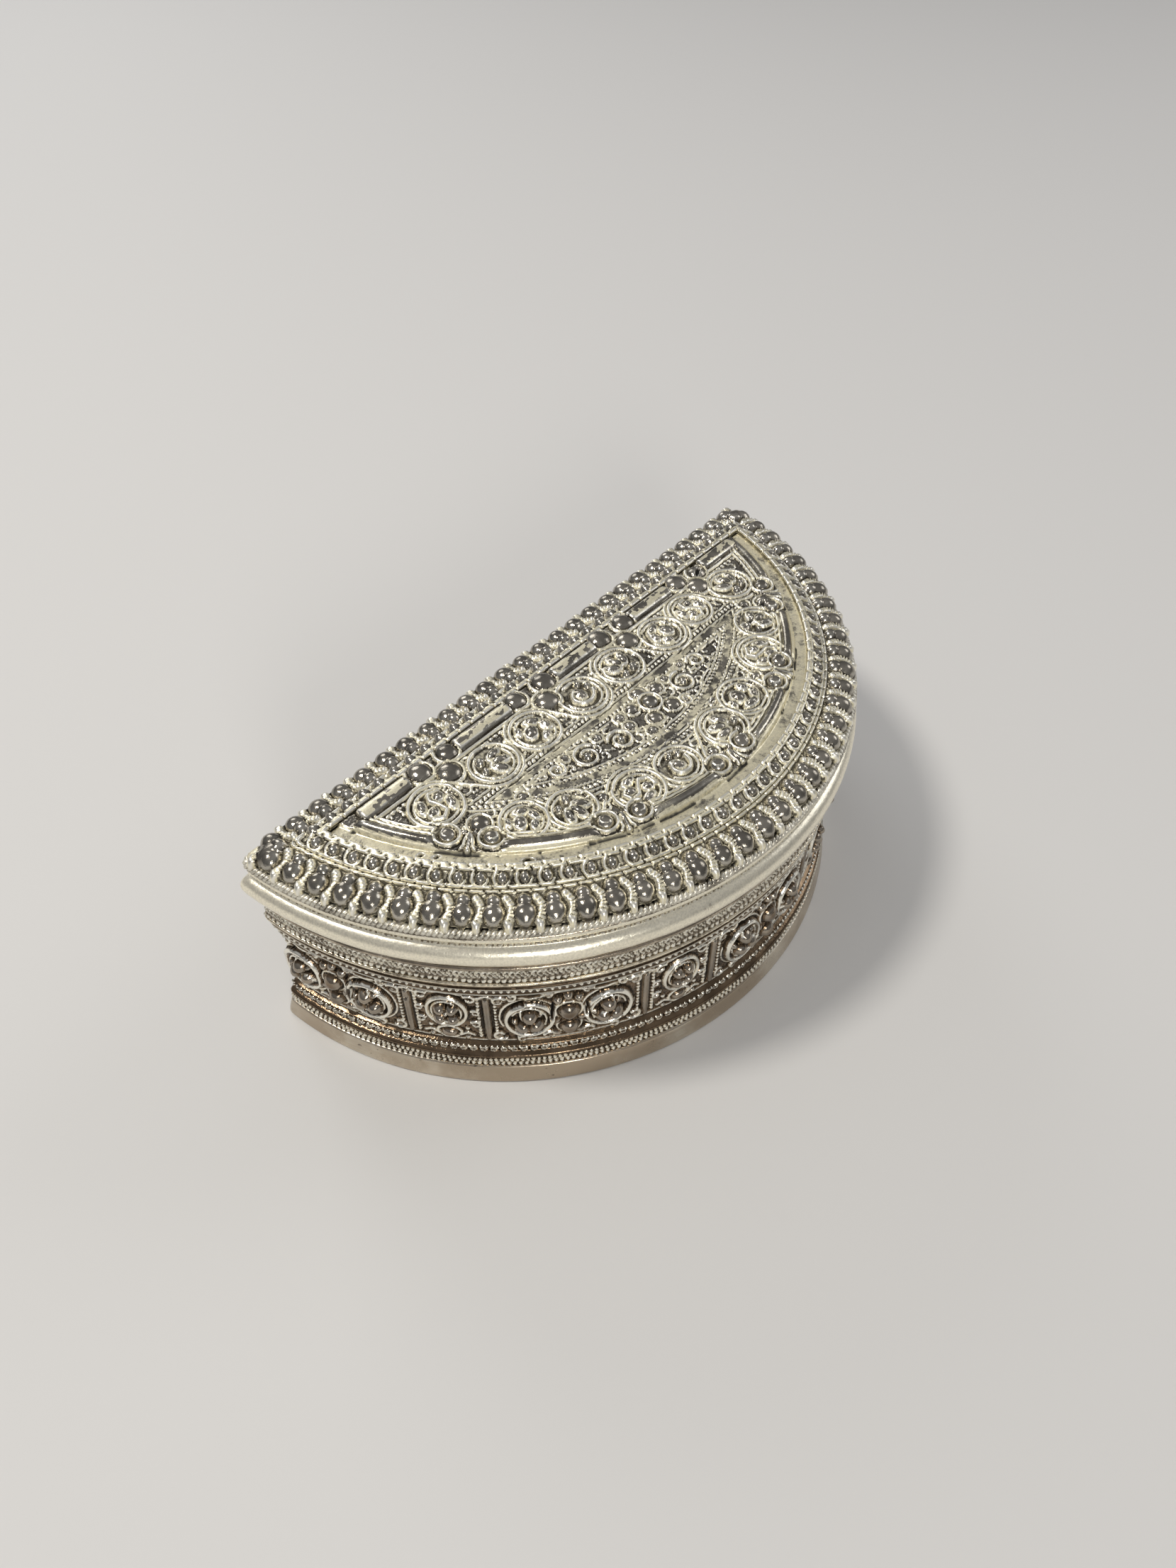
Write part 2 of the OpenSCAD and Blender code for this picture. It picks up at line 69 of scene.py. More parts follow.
def corner_angle(inset):
    """Angle from the middle of the curved side to the corner, at an inset."""
    return math.pi / 2 - np.arcsin((GAP + inset) / (R - inset))


def on_curve(angle, inset):
    """A point of the curved side, and its outward direction."""
    out = np.array([math.sin(angle), -math.cos(angle)])
    return np.array([0, ARC_Y]) + out * (R - inset), out


def on_chord(x, inset):
    """A point of the straight side, and its outward direction."""
    return np.array([x, CHORD_Y - inset]), np.array([0.0, 1.0])


def across(out):
    """The direction along the side, from the outward one."""
    return np.array([-out[1], out[0]])


def along_border(count_curve, count_chord, inset, at=0.5):
    """Evenly spaced places round the border: (point, outward direction)."""
    half = corner_angle(inset)
    for i in range(count_curve):
        yield on_curve(half * (2 * (i + at) / count_curve - 1), inset)
    reach = (R - inset) * math.sin(half)
    for i in range(count_chord):
        yield on_chord(reach * (1 - 2 * (i + at) / count_chord), inset)


def smooth(a, b, x):
    """0 at a, 1 at b and smooth between them. a may be the larger one."""
    t = np.clip((x - a) / (b - a), 0, 1)
    return t * t * (3 - 2 * t)


def noise(x, y, size, seed, octaves=3):
    """Smooth value noise from -1 to 1 over the plane."""
    total, weight, amp = 0.0, 0.0, 1.0
    for o in range(octaves):
        gen = np.random.default_rng(seed + o)
        grid = gen.uniform(-1, 1, (64, 64))
        u, v = x / size * 2 ** o, y / size * 2 ** o
        iu, iv = np.floor(u).astype(int), np.floor(v).astype(int)
        fu, fv = u - iu, v - iv
        fu, fv = fu * fu * (3 - 2 * fu), fv * fv * (3 - 2 * fv)
        g = lambda a, b: grid[a % 64, b % 64]
        total = total + amp * (
            (g(iu, iv) * (1 - fu) + g(iu + 1, iv) * fu) * (1 - fv)
            + (g(iu, iv + 1) * (1 - fu) + g(iu + 1, iv + 1) * fu) * fv)
        weight += amp
        amp *= 0.5
    return total / weight


def between(v, low, high):
    return (v > low) & (v < high)


def step_away(v, pitch):
    """Distance from v to the nearest multiple of pitch."""
    return np.abs(v / pitch - np.round(v / pitch)) * pitch


def swirls(x, y, size, seed, pitch):
    """Fine waves whose direction wanders."""
    flow = noise(x, y, size, seed, 2) * 3
    return np.sin((x * np.cos(flow) + y * np.sin(flow)) * TAU / pitch)


def spiral(cx, cy, r0, r1, start, turns, count=26):
    """Points round a centre, from radius r0 to r1."""
    t = np.linspace(0, 1, count)
    r, a = r0 + (r1 - r0) * t, start + TAU * turns * t
    return np.stack([cx + r * np.cos(a), cy + r * np.sin(a)], 1)


class Relief:
    """Chased heights over a flat sheet. tone runs from 0, polished silver with a painted dark reflection,
    to 1, pale film.
    """

    def __init__(self, x, y, tone):
        self.shape = x.shape
        self.x, self.y = x.ravel(), y.ravel()
        self.h, self.swell, self.soot_and_shade = (np.zeros(self.x.size) for _ in range(3))
        self.tone = np.full(self.x.size, float(tone))

    def lift(self, idx, height, tone):
        """Raise cells to a height, where that is above what they have."""
        win = height > self.h[idx]
        hit = idx[win]
        self.h[hit] = height[win]
        self.tone[hit] = tone

    def cap(self, idx, q, rise, power, tone):
        """A rounded top over the cells where q is under 1."""
        idx, q = idx[q < 1], q[q < 1]
        self.lift(idx, rise * (1 - q ** 2) ** power, tone)

    def dig(self, idx, below, depth):
        """A moat, in the cells that are still lower than below."""
        low = idx[self.h[idx] < below]
        self.h[low] = np.minimum(self.h[low], -depth)
        return low

    def oval(self, cx, cy, r, stretch, turn):
        """The cells round an oval, and how far out each one lies. The edge is at 1."""
        reach = r * max(stretch, 1) * 1.35
        idx = np.nonzero((np.abs(self.x - cx) < reach) & (np.abs(self.y - cy) < reach))[0]
        dx, dy = self.x[idx] - cx, self.y[idx] - cy
        c, s = math.cos(turn), math.sin(turn)
        return idx, np.hypot((dx * c + dy * s) / (r * stretch), (dy * c - dx * s) / r)

    def dome(self, cx, cy, r, rise, tone=DARK_REFLECTION, stretch=1.0, turn=0.0, moat=0.12):
        idx, q = self.oval(cx, cy, r, stretch, turn)
        low = self.dig(idx[(q >= 1) & (q < 1.3)], 0.25, moat)
        self.tone[low] = np.maximum(self.tone[low], 0.8)
        self.cap(idx, q, rise, 0.55, tone)

    def ring(self, cx, cy, r, half_w, rise, tone=PALE, stretch=1.0, turn=0.0):
        outer = r + 2 * half_w
        idx, q = self.oval(cx, cy, outer, stretch, turn)
        away = np.abs(q * outer - r) / half_w
        self.dig(idx[(away >= 1) & (away < 1.8)], 0.15, 0.1)
        self.cap(idx, away, rise, 0.6, tone)

    def bulge(self, cx, cy, r, rise, stretch=1.0, turn=0.0):
        """A soft swell that carries what stands on it."""
        idx, q = self.oval(cx, cy, r, stretch, turn)
        self.swell[idx] += rise * np.clip(1 - q ** 2, 0, 1) ** 1.2

    def sink(self, cx, cy, r, depth, tone, stretch=1.0, turn=0.0):
        """A hollow with soft edges, in what hasn't been raised yet."""
        idx, q = self.oval(cx, cy, r, stretch, turn)
        idx, q = idx[q < 1], q[q < 1]
        self.h[idx] = np.minimum(self.h[idx], -depth * smooth(1.0, 0.75, q))
        self.tone[idx] = tone

    def stroke(self, points, half_w, rise, tone=PALE, taper=0.0, notches=0, moat=0.1, power=2):
        """A ridge along a line of points. A higher power flattens its top."""
        p = np.asarray(points, float)
        lo, hi = p.min(0) - half_w * 2, p.max(0) + half_w * 2
        idx = np.nonzero(between(self.x, lo[0], hi[0]) & between(self.y, lo[1], hi[1]))[0]
        if not idx.size:
            return
        a, ab = p[:-1], p[1:] - p[:-1]
        qx, qy = self.x[idx][:, None] - a[:, 0], self.y[idx][:, None] - a[:, 1]
        t = np.clip((qx * ab[:, 0] + qy * ab[:, 1]) / np.maximum((ab ** 2).sum(1), 1e-9), 0, 1)
        d2 = (qx - t * ab[:, 0]) ** 2 + (qy - t * ab[:, 1]) ** 2
        k = d2.argmin(1)
        row = np.arange(idx.size)
        along = (k + t[row, k]) / len(ab)
        away = np.sqrt(d2[row, k]) / (half_w * (1 - taper * along))
        self.dig(idx[(away >= 1) & (away < 1.6)], 0.12, moat)
        inside = away < 1
        height = rise * (1 - taper * along * 0.5) * (1 - away ** power * inside) ** 0.6
        if notches:
            height = height * (0.84 + 0.16 * np.cos(TAU * along * notches))
        self.lift(idx[inside], height[inside], tone)

    def line(self, away, half_w, rise, tone=PALE, where=True):
        """A ridge where away, the distance from its middle line, is small."""
        q = np.abs(away) / half_w
        idx = np.nonzero(where & (q < 1.7))[0]
        self.dig(idx[q[idx] >= 1], 0.1, 0.08)
        self.cap(idx, q[idx], rise, 0.6, tone)

    def bead_row(self, along, away, pitch, r, rise, tone=PALE, where=True, lean=0.0, long=1.0):
        """Small beads along a line. lean slants them, and long stretches them across the line."""
        q = np.hypot(step_away(along + lean * away, pitch) / r, away / (r * long))
        idx = np.nonzero(where & (np.abs(away) < r * long * 1.25))[0]
        self.dig(idx[q[idx] >= 1], 0.1, 0.1)
        self.cap(idx, q[idx], rise, 0.55, tone)

    def painted_shade_pit(self, cx, cy, half_w, half_l, turn, outer, inner):
        """A pit darkened with painted shade. Returns its cells, and how deep each of them lies in it."""
        idx, q = self.oval(cx, cy, half_w, half_l / half_w, turn)
        deep = smooth(outer, inner, q)
        self.soot_and_shade[idx] = np.maximum(self.soot_and_shade[idx], deep)
        return idx, deep

    def height(self):
        return (self.h + self.swell).reshape(self.shape)


def shifted(a, n, axis, closed):
    """The grid moved by each of -n to n cells along an axis, round it where that is closed."""
    for k in range(-n, n + 1):
        yield np.take(a, np.arange(a.shape[axis]) + k, axis, mode="wrap" if closed else "clip")


def blurred(a, n, wrap):
    """Box blur over n cells each way. wrap says whether the columns close on themselves."""
    for axis, closed in enumerate((False, wrap)):
        a = sum(shifted(a, n, axis, closed)) / (2 * n + 1)
    return a


def lowered(a, n, wrap):
    """The least height within n cells."""
    for axis, closed in enumerate((False, wrap)):
        a = reduce(np.minimum, shifted(a, n, axis, closed))
    return a


def unit(v):
    return v / np.maximum(np.linalg.norm(v, axis=-1, keepdims=True), 1e-9)


def grid_normals(p, wrap):
    """Unit normals of a grid of points. They point at whoever sees columns run right and rows run up."""
    du = np.roll(p, -1, 1) - np.roll(p, 1, 1) if wrap else np.gradient(p, axis=1)
    return unit(np.cross(du, np.gradient(p, axis=0)))


def zipped(a, b):
    """Triangles between two closed loops of vertex numbers that run side by side."""
    faces, i, j = [], 0, 0
    while i < len(a) or j < len(b):
        if j >= len(b) or (i < len(a) and (i + 1) / len(a) <= (j + 1) / len(b)):
            faces.append((a[i % len(a)], a[(i + 1) % len(a)], b[j % len(b)]))
            i += 1
        else:
            faces.append((a[i % len(a)], b[(j + 1) % len(b)], b[j % len(b)]))
            j += 1
    return faces


def grid_quads(ids, wrap, flip=False):
    nxt = np.roll(ids, -1, 1) if wrap else ids[:, 1:]
    cur = ids if wrap else ids[:, :-1]
    q = np.stack([cur[:-1], nxt[:-1], nxt[1:], cur[1:]], -1).reshape(-1, 4)
    return q[:, ::-1] if flip else q


def add_object(name, data):
    ob = bpy.data.objects.new(name, data)
    bpy.context.scene.collection.objects.link(ob)
    return ob


def make_mesh(name, points, quads, tris, materials, layers, quad_mat=None):
    """A smooth-shaded mesh object from arrays, in metres."""
    me = bpy.data.meshes.new(name)
    quads, tris = np.asarray(quads, int).reshape(-1, 4), np.asarray(tris, int).reshape(-1, 3)
    me.vertices.add(len(points))
    me.vertices.foreach_set("co", (np.asarray(points) * MM).astype(np.float32).ravel())
    loops = np.concatenate([quads.ravel(), tris.ravel()])
    me.loops.add(len(loops))
    me.loops.foreach_set("vertex_index", loops.astype(np.int32))
    me.polygons.add(len(quads) + len(tris))
    starts = np.concatenate([np.arange(len(quads)) * 4, len(quads) * 4 + np.arange(len(tris)) * 3])
    me.polygons.foreach_set("loop_start", starts.astype(np.int32))
    me.polygons.foreach_set("use_smooth", np.ones(len(starts), bool))
    for m in materials:
        me.materials.append(m)
    if quad_mat is not None:
        me.polygons.foreach_set("material_index", np.concatenate(
            [quad_mat, np.ones(len(tris), int)]).astype(np.int32))
    for key, values in layers.items():
        me.attributes.new(key, "FLOAT", "POINT").data.foreach_set("value", values.astype(np.float32))
    me.update()
    me.validate()
    return add_object(name, me)


def shell(name, base, relief, face, thick=0.8, wrap=True, step=5):
    """A sheet of metal: the chased face, a plainer back behind it, and the edges that join them."""
    rows, cols = base.shape[:2]
    normal = grid_normals(base, wrap)
    height = relief.height()
    front = base + normal * height[..., None]
    back_h = blurred(lowered(height, 2, wrap), 2, wrap) - thick
    take_r = sorted({*range(0, rows, step), rows - 1})
    take_c = sorted({*range(0, cols, step)} | (set() if wrap else {cols - 1}))
    back = (base + normal * back_h[..., None])[np.ix_(take_r, take_c)]
    top_ids = np.arange(rows * cols).reshape(rows, cols)
    low_ids = rows * cols + np.arange(len(take_r) * len(take_c)).reshape(len(take_r), len(take_c))
    quads = [grid_quads(top_ids, wrap), grid_quads(low_ids, wrap, flip=True)]
    if wrap:
        tris = zipped(list(low_ids[0]), list(top_ids[0]))
        tris += zipped(list(top_ids[-1]), list(low_ids[-1]))
    else:
        rim = lambda g: [*g[0, :-1], *g[:-1, -1], *g[-1, :0:-1], *g[:0:-1, 0]]
        tris = zipped(rim(low_ids), rim(top_ids))
    quad_mat = np.concatenate([np.zeros(len(quads[0]), int), np.ones(len(quads[1]), int)])
    proud = lambda n, gain: np.clip(0.5 + (height - blurred(height, n, wrap)) * gain, 0, 1).ravel()
    # What each layer holds on the face, and on the back
    layers = {"fine": (proud(2, 2.6), 0.5), "broad": (proud(8, 0.8), 0.5),
              "tone": (relief.tone, 0.4), "soot_and_shade": (relief.soot_and_shade, 0)}
    layers = {k: np.append(v, np.full(low_ids.size, plain)) for k, (v, plain) in layers.items()}
    points = np.concatenate([front.reshape(-1, 3), back.reshape(-1, 3)])
    return make_mesh(name, points, np.concatenate(quads), tris, [face, inner_silver], layers, quad_mat)


def resampled(profile, count):
    """A profile of (inset, height) points at evenly spaced lengths."""
    p = np.asarray(profile, float)
    run = np.concatenate([[0], np.cumsum(np.hypot(*np.diff(p, axis=0).T))])
    at = np.linspace(0, run[-1], count)
    return np.stack([np.interp(at, run, p[:, 0]), np.interp(at, run, p[:, 1])], 1)


def band(profile, n_curve, n_chord, soften=0.9, inner_soften=0.9):
    """A strip round the half-moon plan, whose corners are softened by so much at its first and last row.

    x and y are its plan with sharp corners, and along is the distance from the middle of each side.
    """
    inset, z = np.asarray(profile, float).T
    half = corner_angle(inset)[:, None]
    r = (R - inset)[:, None]
    at_curve = np.arange(n_curve) / n_curve * 2 - 1
    at_chord = 1 - np.arange(n_chord) / n_chord * 2
    angle, reach = half * at_curve, r * np.sin(half)
    x = np.concatenate([r * np.sin(angle), reach * at_chord], 1)
    y = np.concatenate([ARC_Y - r * np.cos(angle), (CHORD_Y - inset)[:, None] + 0 * at_chord], 1)
    strip = SimpleNamespace(x=x.copy(), y=y.copy())
    strip.along = np.concatenate([angle * r, reach * at_chord], 1)
    strip.inset = np.broadcast_to(inset[:, None], x.shape).ravel()
    cells = n_curve + n_chord
    strip.curved = np.broadcast_to(np.arange(cells) < n_curve, x.shape).ravel()
    # The corners are rounded by a blur along the loop
    spacing = LOOP / cells
    soft = soften + (inner_soften - soften) * np.linspace(0, 1, len(inset))[:, None]
    count = int(3 * max(soften, inner_soften) / spacing) + 1
    offsets = np.arange(-count, count + 1)
    weight = np.exp(-0.5 * (offsets[None] * spacing / np.maximum(soft, 1e-3)) ** 2)
    weight /= weight.sum(1, keepdims=True)
    k = np.arange(-CORNER_CELLS, CORNER_CELLS + 1)
    blend = np.exp(-0.5 * (k * spacing / CORNER_FADE) ** 2)
    for corner in (0, n_curve):
        near = (corner + k) % cells
        for part in (x, y):
            src = part.copy()
            mixed = sum(weight[:, [i]] * src[:, (corner + k + o) % cells] for i, o in enumerate(offsets))
            part[:, near] = src[:, near] + (mixed - src[:, near]) * blend
    strip.points = np.stack([x, y, np.broadcast_to(z[:, None], x.shape)], 2)
    return strip


def side_relief(profile, rows, n_curve, n_chord, tone):
    """A strip round the side, and its relief, laid out by the distance along it and the height."""
    strip = band(resampled(profile, rows), n_curve, n_chord)
    return strip, Relief(strip.along, strip.points[..., 2], tone)


# Materials

def nodes_of(name):
    mat = bpy.data.materials.new(name)
    mat.use_nodes = True
    return mat, mat.node_tree.nodes["Principled BSDF"], Net(mat.node_tree)


class Net:
    """Short ways to add and join shader nodes."""

    def __init__(self, tree):
        self.tree = tree
        self.place = self.node("ShaderNodeTexCoord").outputs["Object"]

    def node(self, kind, inputs=(), **props):
        """A new node. Its inputs, by name or number, are values or other nodes' outputs."""
        n = self.tree.nodes.new(kind)
        for k, v in props.items():
            setattr(n, k, v)
        return self.fill(n, inputs)

    def fill(self, n, inputs):
        for k, v in dict(inputs).items():
            if isinstance(v, bpy.types.NodeSocket):
                self.tree.links.new(v, n.inputs[k])
            elif v is not None:
                n.inputs[k].default_value = v
        return n

    def math(self, op, *values):
        return self.node("ShaderNodeMath", enumerate(values), operation=op).outputs[0]

    def times(self, a, b):
        return self.math("MULTIPLY", a, b)

    def plus(self, a, b):
        return self.math("ADD", a, b)

    def scaled(self, a, by, offset):
        return self.math("MULTIPLY_ADD", a, by, offset)

    def ramp(self, value, low, high, to_low=0.0, to_high=1.0):
        span = enumerate((value, low, high, to_low, to_high))
        return self.node("ShaderNodeMapRange", span, interpolation_type="SMOOTHSTEP").outputs[0]

    def mix(self, factor, a, b):
        return self.node("ShaderNodeMix", {"Factor": factor, 6: a, 7: b}, data_type="RGBA").outputs[2]

    def noise(self, scale, detail=4.0, rough=0.55, stretch=None):
        place = self.place
        if stretch:
            place = self.node("ShaderNodeMapping", {"Vector": place, "Scale": stretch}).outputs[0]
        inputs = {"Vector": place, "Scale": scale, "Detail": detail, "Roughness": rough}
        return self.node("ShaderNodeTexNoise", inputs).outputs["Fac"]

    def layer(self, name):
        return self.node("ShaderNodeAttribute", attribute_name=name).outputs["Fac"]

    def bump(self, height, strength, distance, normal=None):
        inputs = {"Strength": strength, "Distance": distance, "Height": height, "Normal": normal}
        return self.node("ShaderNodeBump", inputs).outputs[0]


def rgb(r, g, b):
    return (r, g, b, 1.0)


def chased_silver(name, dark, pale, groove_tarnish_and_shade, film_shift=0.0, hollow_film=0.4, rough=0.2, pale_rough=0.38,
                  pale_metal=0.7):
    """Silver whose tone, hollows, soot and painted shade come from the mesh; its dark colour is a painted
    dark reflection.

    film_shift and hollow_film say how much pale film is left.
    """
    mat, bsdf, net = nodes_of(name)
    tone, fine, broad, soot_and_shade = (net.layer(k) for k in ("tone", "fine", "broad", "soot_and_shade"))
    patch = net.noise(240, 3)
    grain = net.noise(1700, 4, 0.7)
    fleck = net.noise(3200, 2, 0.6)
    # Pale film where the sheet is pale or hollow, broken up by patches and grain
    film = net.scaled(net.ramp(broad, 0.5, 0.25), hollow_film, tone)
    film = net.plus(film, net.scaled(patch, 0.7, film_shift - 0.35))
    film = net.plus(film, net.scaled(grain, 0.6, -0.3))
    film = net.ramp(film, 0.42, 0.74)
    shade = net.mix(net.ramp(patch, 0.35, 0.65), rgb(*dark), rgb(*[min(c * 1.7, 1) for c in dark]))
    light = net.mix(net.ramp(fleck, 0.36, 0.6), rgb(*[c * 0.84 for c in pale]), rgb(*pale))
    colour = net.mix(film, shade, light)
    # Thin ridges are rubbed bright, partly wear and partly a painted highlight; the bottoms of the grooves
    # are dark, partly tarnish and partly painted shade
    rubbed_and_highlight = net.times(net.ramp(fine, 0.6, 0.86), net.ramp(tone, 0.15, 0.45, 0.25, 1.0))
    colour = net.mix(rubbed_and_highlight, colour, rgb(0.95, 0.92, 0.82))
    # Painted shade, with some tarnish, darkens the bottoms of the grooves
    sunk_tarnish_and_shade = net.ramp(net.plus(fine, net.scaled(grain, 0.5, -0.25)), 0.45, 0.18)
    colour = net.mix(net.times(sunk_tarnish_and_shade, 0.88), colour, rgb(*groove_tarnish_and_shade))
    # Near black where the mesh marks soot and painted shade
    colour = net.mix(soot_and_shade, colour, rgb(0.012, 0.011, 0.010))
    dull = net.times(film, net.math("SUBTRACT", 1.0, rubbed_and_highlight))
    metal = net.scaled(dull, pale_metal - 1.0, 1.0)
    roughness = net.scaled(film, pale_rough - rough, rough)
    roughness = net.plus(roughness, net.scaled(grain, 0.1, -0.05))
    relief = net.plus(net.times(grain, 0.65), net.times(fleck, 0.35))
    net.fill(bsdf, {"Base Color": colour,
                    "Metallic": net.times(metal, net.math("SUBTRACT", 1.0, soot_and_shade)),
                    "Roughness": net.math("MAXIMUM", roughness, net.times(soot_and_shade, 0.8)),
                    "Normal": net.bump(relief, 0.3, 0.0002)})
    return mat


def plain_silver(name, colour, rough, scratch=(40, 40, 900), film=None):
    """Plain sheet silver with fine scratches, dull patches and dark specks, partly under a film."""
    mat, bsdf, net = nodes_of(name)
    patch = net.noise(90, 5, 0.6)
    fine = net.noise(3.0, 5, 0.6, stretch=scratch)
    specks = net.ramp(net.noise(900, 2), 0.68, 0.74)
    tint = net.mix(net.ramp(patch, 0.35, 0.68), rgb(*[c * 0.78 for c in colour]), rgb(*colour))
    tint = net.mix(net.times(net.ramp(fine, 0.45, 0.7), 0.35), tint, rgb(0.80, 0.77, 0.70))
    if film:
        tint = net.mix(net.ramp(net.noise(34, 5, 0.62), 0.43, 0.62), rgb(*film), tint)
    tint = net.mix(net.times(specks, 0.7), tint, rgb(0.09, 0.075, 0.06))
    net.fill(bsdf, {"Base Color": tint, "Metallic": 0.92,
                    "Roughness": net.scaled(patch, 0.3, rough - 0.12),
                    "Normal": net.bump(fine, 0.25, 0.00015, net.bump(patch, 0.2, 0.0006))})
    return mat


# The first colour of each chased silver is a painted dark reflection on polished silver, dark brown on the
# wall; the third is a painted groove shade with tarnish
lid_silver = chased_silver("lid_silver", (0.24, 0.22, 0.185), (0.97, 0.90, 0.67), (0.04, 0.031, 0.019),
                           -0.16, 0.3, 0.16, 0.36, 0.68)
wall_silver = chased_silver("wall_silver", (0.13, 0.092, 0.058), (1.0, 0.90, 0.70), (0.02, 0.015, 0.01),
                            -0.1, -0.4, 0.12, 0.24, 0.9)
skirt_silver = chased_silver("skirt_silver", (0.28, 0.235, 0.18), (1.0, 0.94, 0.77), (0.06, 0.046, 0.03),
                             0.05, -0.4, 0.18, 0.3, 0.8)
rope_silver = chased_silver("rope_silver", (0.30, 0.27, 0.22), (0.90, 0.86, 0.74), (0.06, 0.05, 0.04),
                            0.05, -0.4)
# The foot's brown film patches are partly tarnish and partly a painted reflection of a brown surface
foot_silver = plain_silver("foot_silver", (0.78, 0.70, 0.57), 0.24, film=(0.46, 0.38, 0.285))
inner_silver = plain_silver("inner_silver", (0.55, 0.52, 0.47), 0.42)
collar_silver = plain_silver("collar_silver", (0.68, 0.65, 0.59), 0.34)
base_silver = plain_silver("base_silver", (0.52, 0.49, 0.44), 0.45, (60, 900, 60))


# The lid's border: gadroons, brick lines and running scrolls

def lid_border():
    profile = resampled([(0.62, 43.62), (0.45, 43.8), (0.45, 44.1), (0.8, 44.32), (5.6, 46.0),
                         (8.5, 48.0), (8.72, 48.08), (8.92, 47.95), (9.0, 47.5)], 58)
    strip = band(profile, 900, 600, 0.9, 0.25)
    inset, along = strip.inset, strip.along.ravel()
    re = Relief(strip.x, strip.y, 0.75)
    re.tone[inset > 5.2] = 0.4
    re.tone[inset > 8.5] = 0.8
    # A gadroon is a large dome with a smaller one behind it, and bent straps lie between the gadroons
    for p, out in along_border(*GADROONS, GADROON_IN):
        turn = math.atan2(out[1], out[0])
        size = 1 + rng.uniform(-0.06, 0.06)
        wob = rng.uniform(-0.12, 0.12, 2)
        aside = across(out) * wob[0]
        re.dome(*(p + out * 0.12 + aside), 1.78 * size, 1.6 * size, DARK_REFLECTION, 1.0, turn)
        re.dome(*(p - out * (1.62 + wob[1]) + aside), 1.3 * size, 1.34, DARK_REFLECTION + 0.04, 0.98, turn)
    bend = (-0.1, 0.34, 0.5, 0.28, -0.35)
    for p, out in along_border(*GADROONS, GADROON_IN, 0.0):
        way = [p + out * (1.4 - k * 0.84) + across(out) * s for k, s in enumerate(bend)]
        re.stroke(way, 0.78, 0.95 + rng.uniform(-0.08, 0.1), 1.0, 0.1, notches=7, power=4)
    # Lines cut into bricks, and the running scrolls between them, which are taller on the straight side
    for k, d in enumerate((5.5, 6.1, 8.22, 8.68)):
        pitch = 2.3 if d < 7 else 2.7
        re.line(inset - d, 0.24, 0.5, 1.0, step_away(along + k * 0.7, pitch) > 0.16)
    for p, out in along_border(46, 33, SCROLL_IN):
        side = across(out)
        tall = 1.35 if out[1] > 0.99 else 1.0
        c = p + side * rng.uniform(-0.12, 0.12)
        a = np.radians(np.linspace(-230, -20, 13) + rng.uniform(-20, 20))
        curl = [c + side * (math.cos(t) * 1.15) - out * (math.sin(t) * 1.0) for t in a]
        re.stroke(curl, 0.36, 0.62, 1.0, 0.5)
        re.dome(*(c + side * 0.1), 0.88 + 0.2 * (tall > 1), 0.95 * tall, DARK_REFLECTION + 0.05, 1.0, 0, 0.1)
    # A big bead stands in each corner
    for sx in (-1, 1):
        re.dome(sx * 58.9, 25.4, 2.1, 1.35)
    re.h += 0.05 * noise(re.x, re.y, 1.3, 5)
    return shell("lid_border", strip.points, re, lid_silver)


# The lid's field: bars, bosses, mouldings, roundels and the pointed leaf

# The leaf's straight edge, its lowest point and half its length, and the arc of its curved edge
LEAF_TOP, LEAF_LOW, LEAF_HALF = 5.95, -6.1, 30.6
LEAF_DEPTH = LEAF_TOP - LEAF_LOW
LEAF_R = (LEAF_HALF ** 2 + LEAF_DEPTH ** 2) / (2 * LEAF_DEPTH)
LEAF_CY = LEAF_LOW + LEAF_R
# Lines and ladders along the leaf's edge: distance in, half-width, rise and pitch of the rungs
LEAF_LINES = (
    (-1.95, 0.22, 0.3, 0), (-1.15, 0.42, 0.34, 0.9), (-0.3, 0.22, 0.26, 0), (1.55, 0.3, 0.34, 0.9),
    (2.2, 0.22, 0.3, 0))
# Scrolls in the leaf: centre, radius, start and hand
LEAF_SCROLLS = (
    (-13.8, 1.2, 2.5, 0.6, 1), (-7.4, -0.4, 2.3, 2.4, -1), (10.2, 0.9, 2.5, 1.2, 1),
    (15.8, 2.6, 1.7, 2.6, -1), (-19.4, 2.7, 1.5, 0.3, -1), (7.0, -2.4, 1.3, 1.0, 1))
# Beads in the leaf: centre and radius
LEAF_BEADS = (
    (2.5, 4.6, 1.15), (5.7, 3.2, 1.2), (4.6, -1.3, 1.35), (0.2, -1.3, 1.25), (-1.0, 2.9, 1.1),
    (-3.9, 3.0, 0.85), (-4.2, 0.6, 0.9), (-9.8, 2.7, 0.75), (-2.4, -2.9, 0.85), (8.4, 3.5, 0.7),
    (12.9, 3.9, 0.6), (-16.6, 3.6, 0.6))
# Roundels along the straight side and round the curve: centre, radius, turn and kind
ROUNDELS = (
    ((-37.2, 11.2, 4.4, 0.3, 2), (-25.0, 11.2, 4.1, 1.2, 1), (-15.3, 11.2, 4.3, 0.4, 0),
     (-4.0, 11.2, 4.3, 2.4, 3), (5.8, 11.2, 4.3, 0.2, 1), (17.3, 11.2, 4.2, 2.6, 0),
     (25.7, 11.5, 4.0, 0.7, 2), (36.5, 10.9, 4.1, 3.4, 1)),
    ((-30.4, -0.8, 3.8, 0.4, 0), (-23.8, -4.6, 4.0, 0.2, 1), (-13.9, -9.6, 4.2, 2.4, 2),
     (-5.6, -10.9, 3.9, 2.8, 3), (5.9, -11.2, 4.1, 1.0, 1), (13.7, -9.1, 4.3, 5.3, 0),
     (24.7, -4.9, 4.2, 4.8, 2), (30.9, 0.6, 4.0, 1.8, 1)))
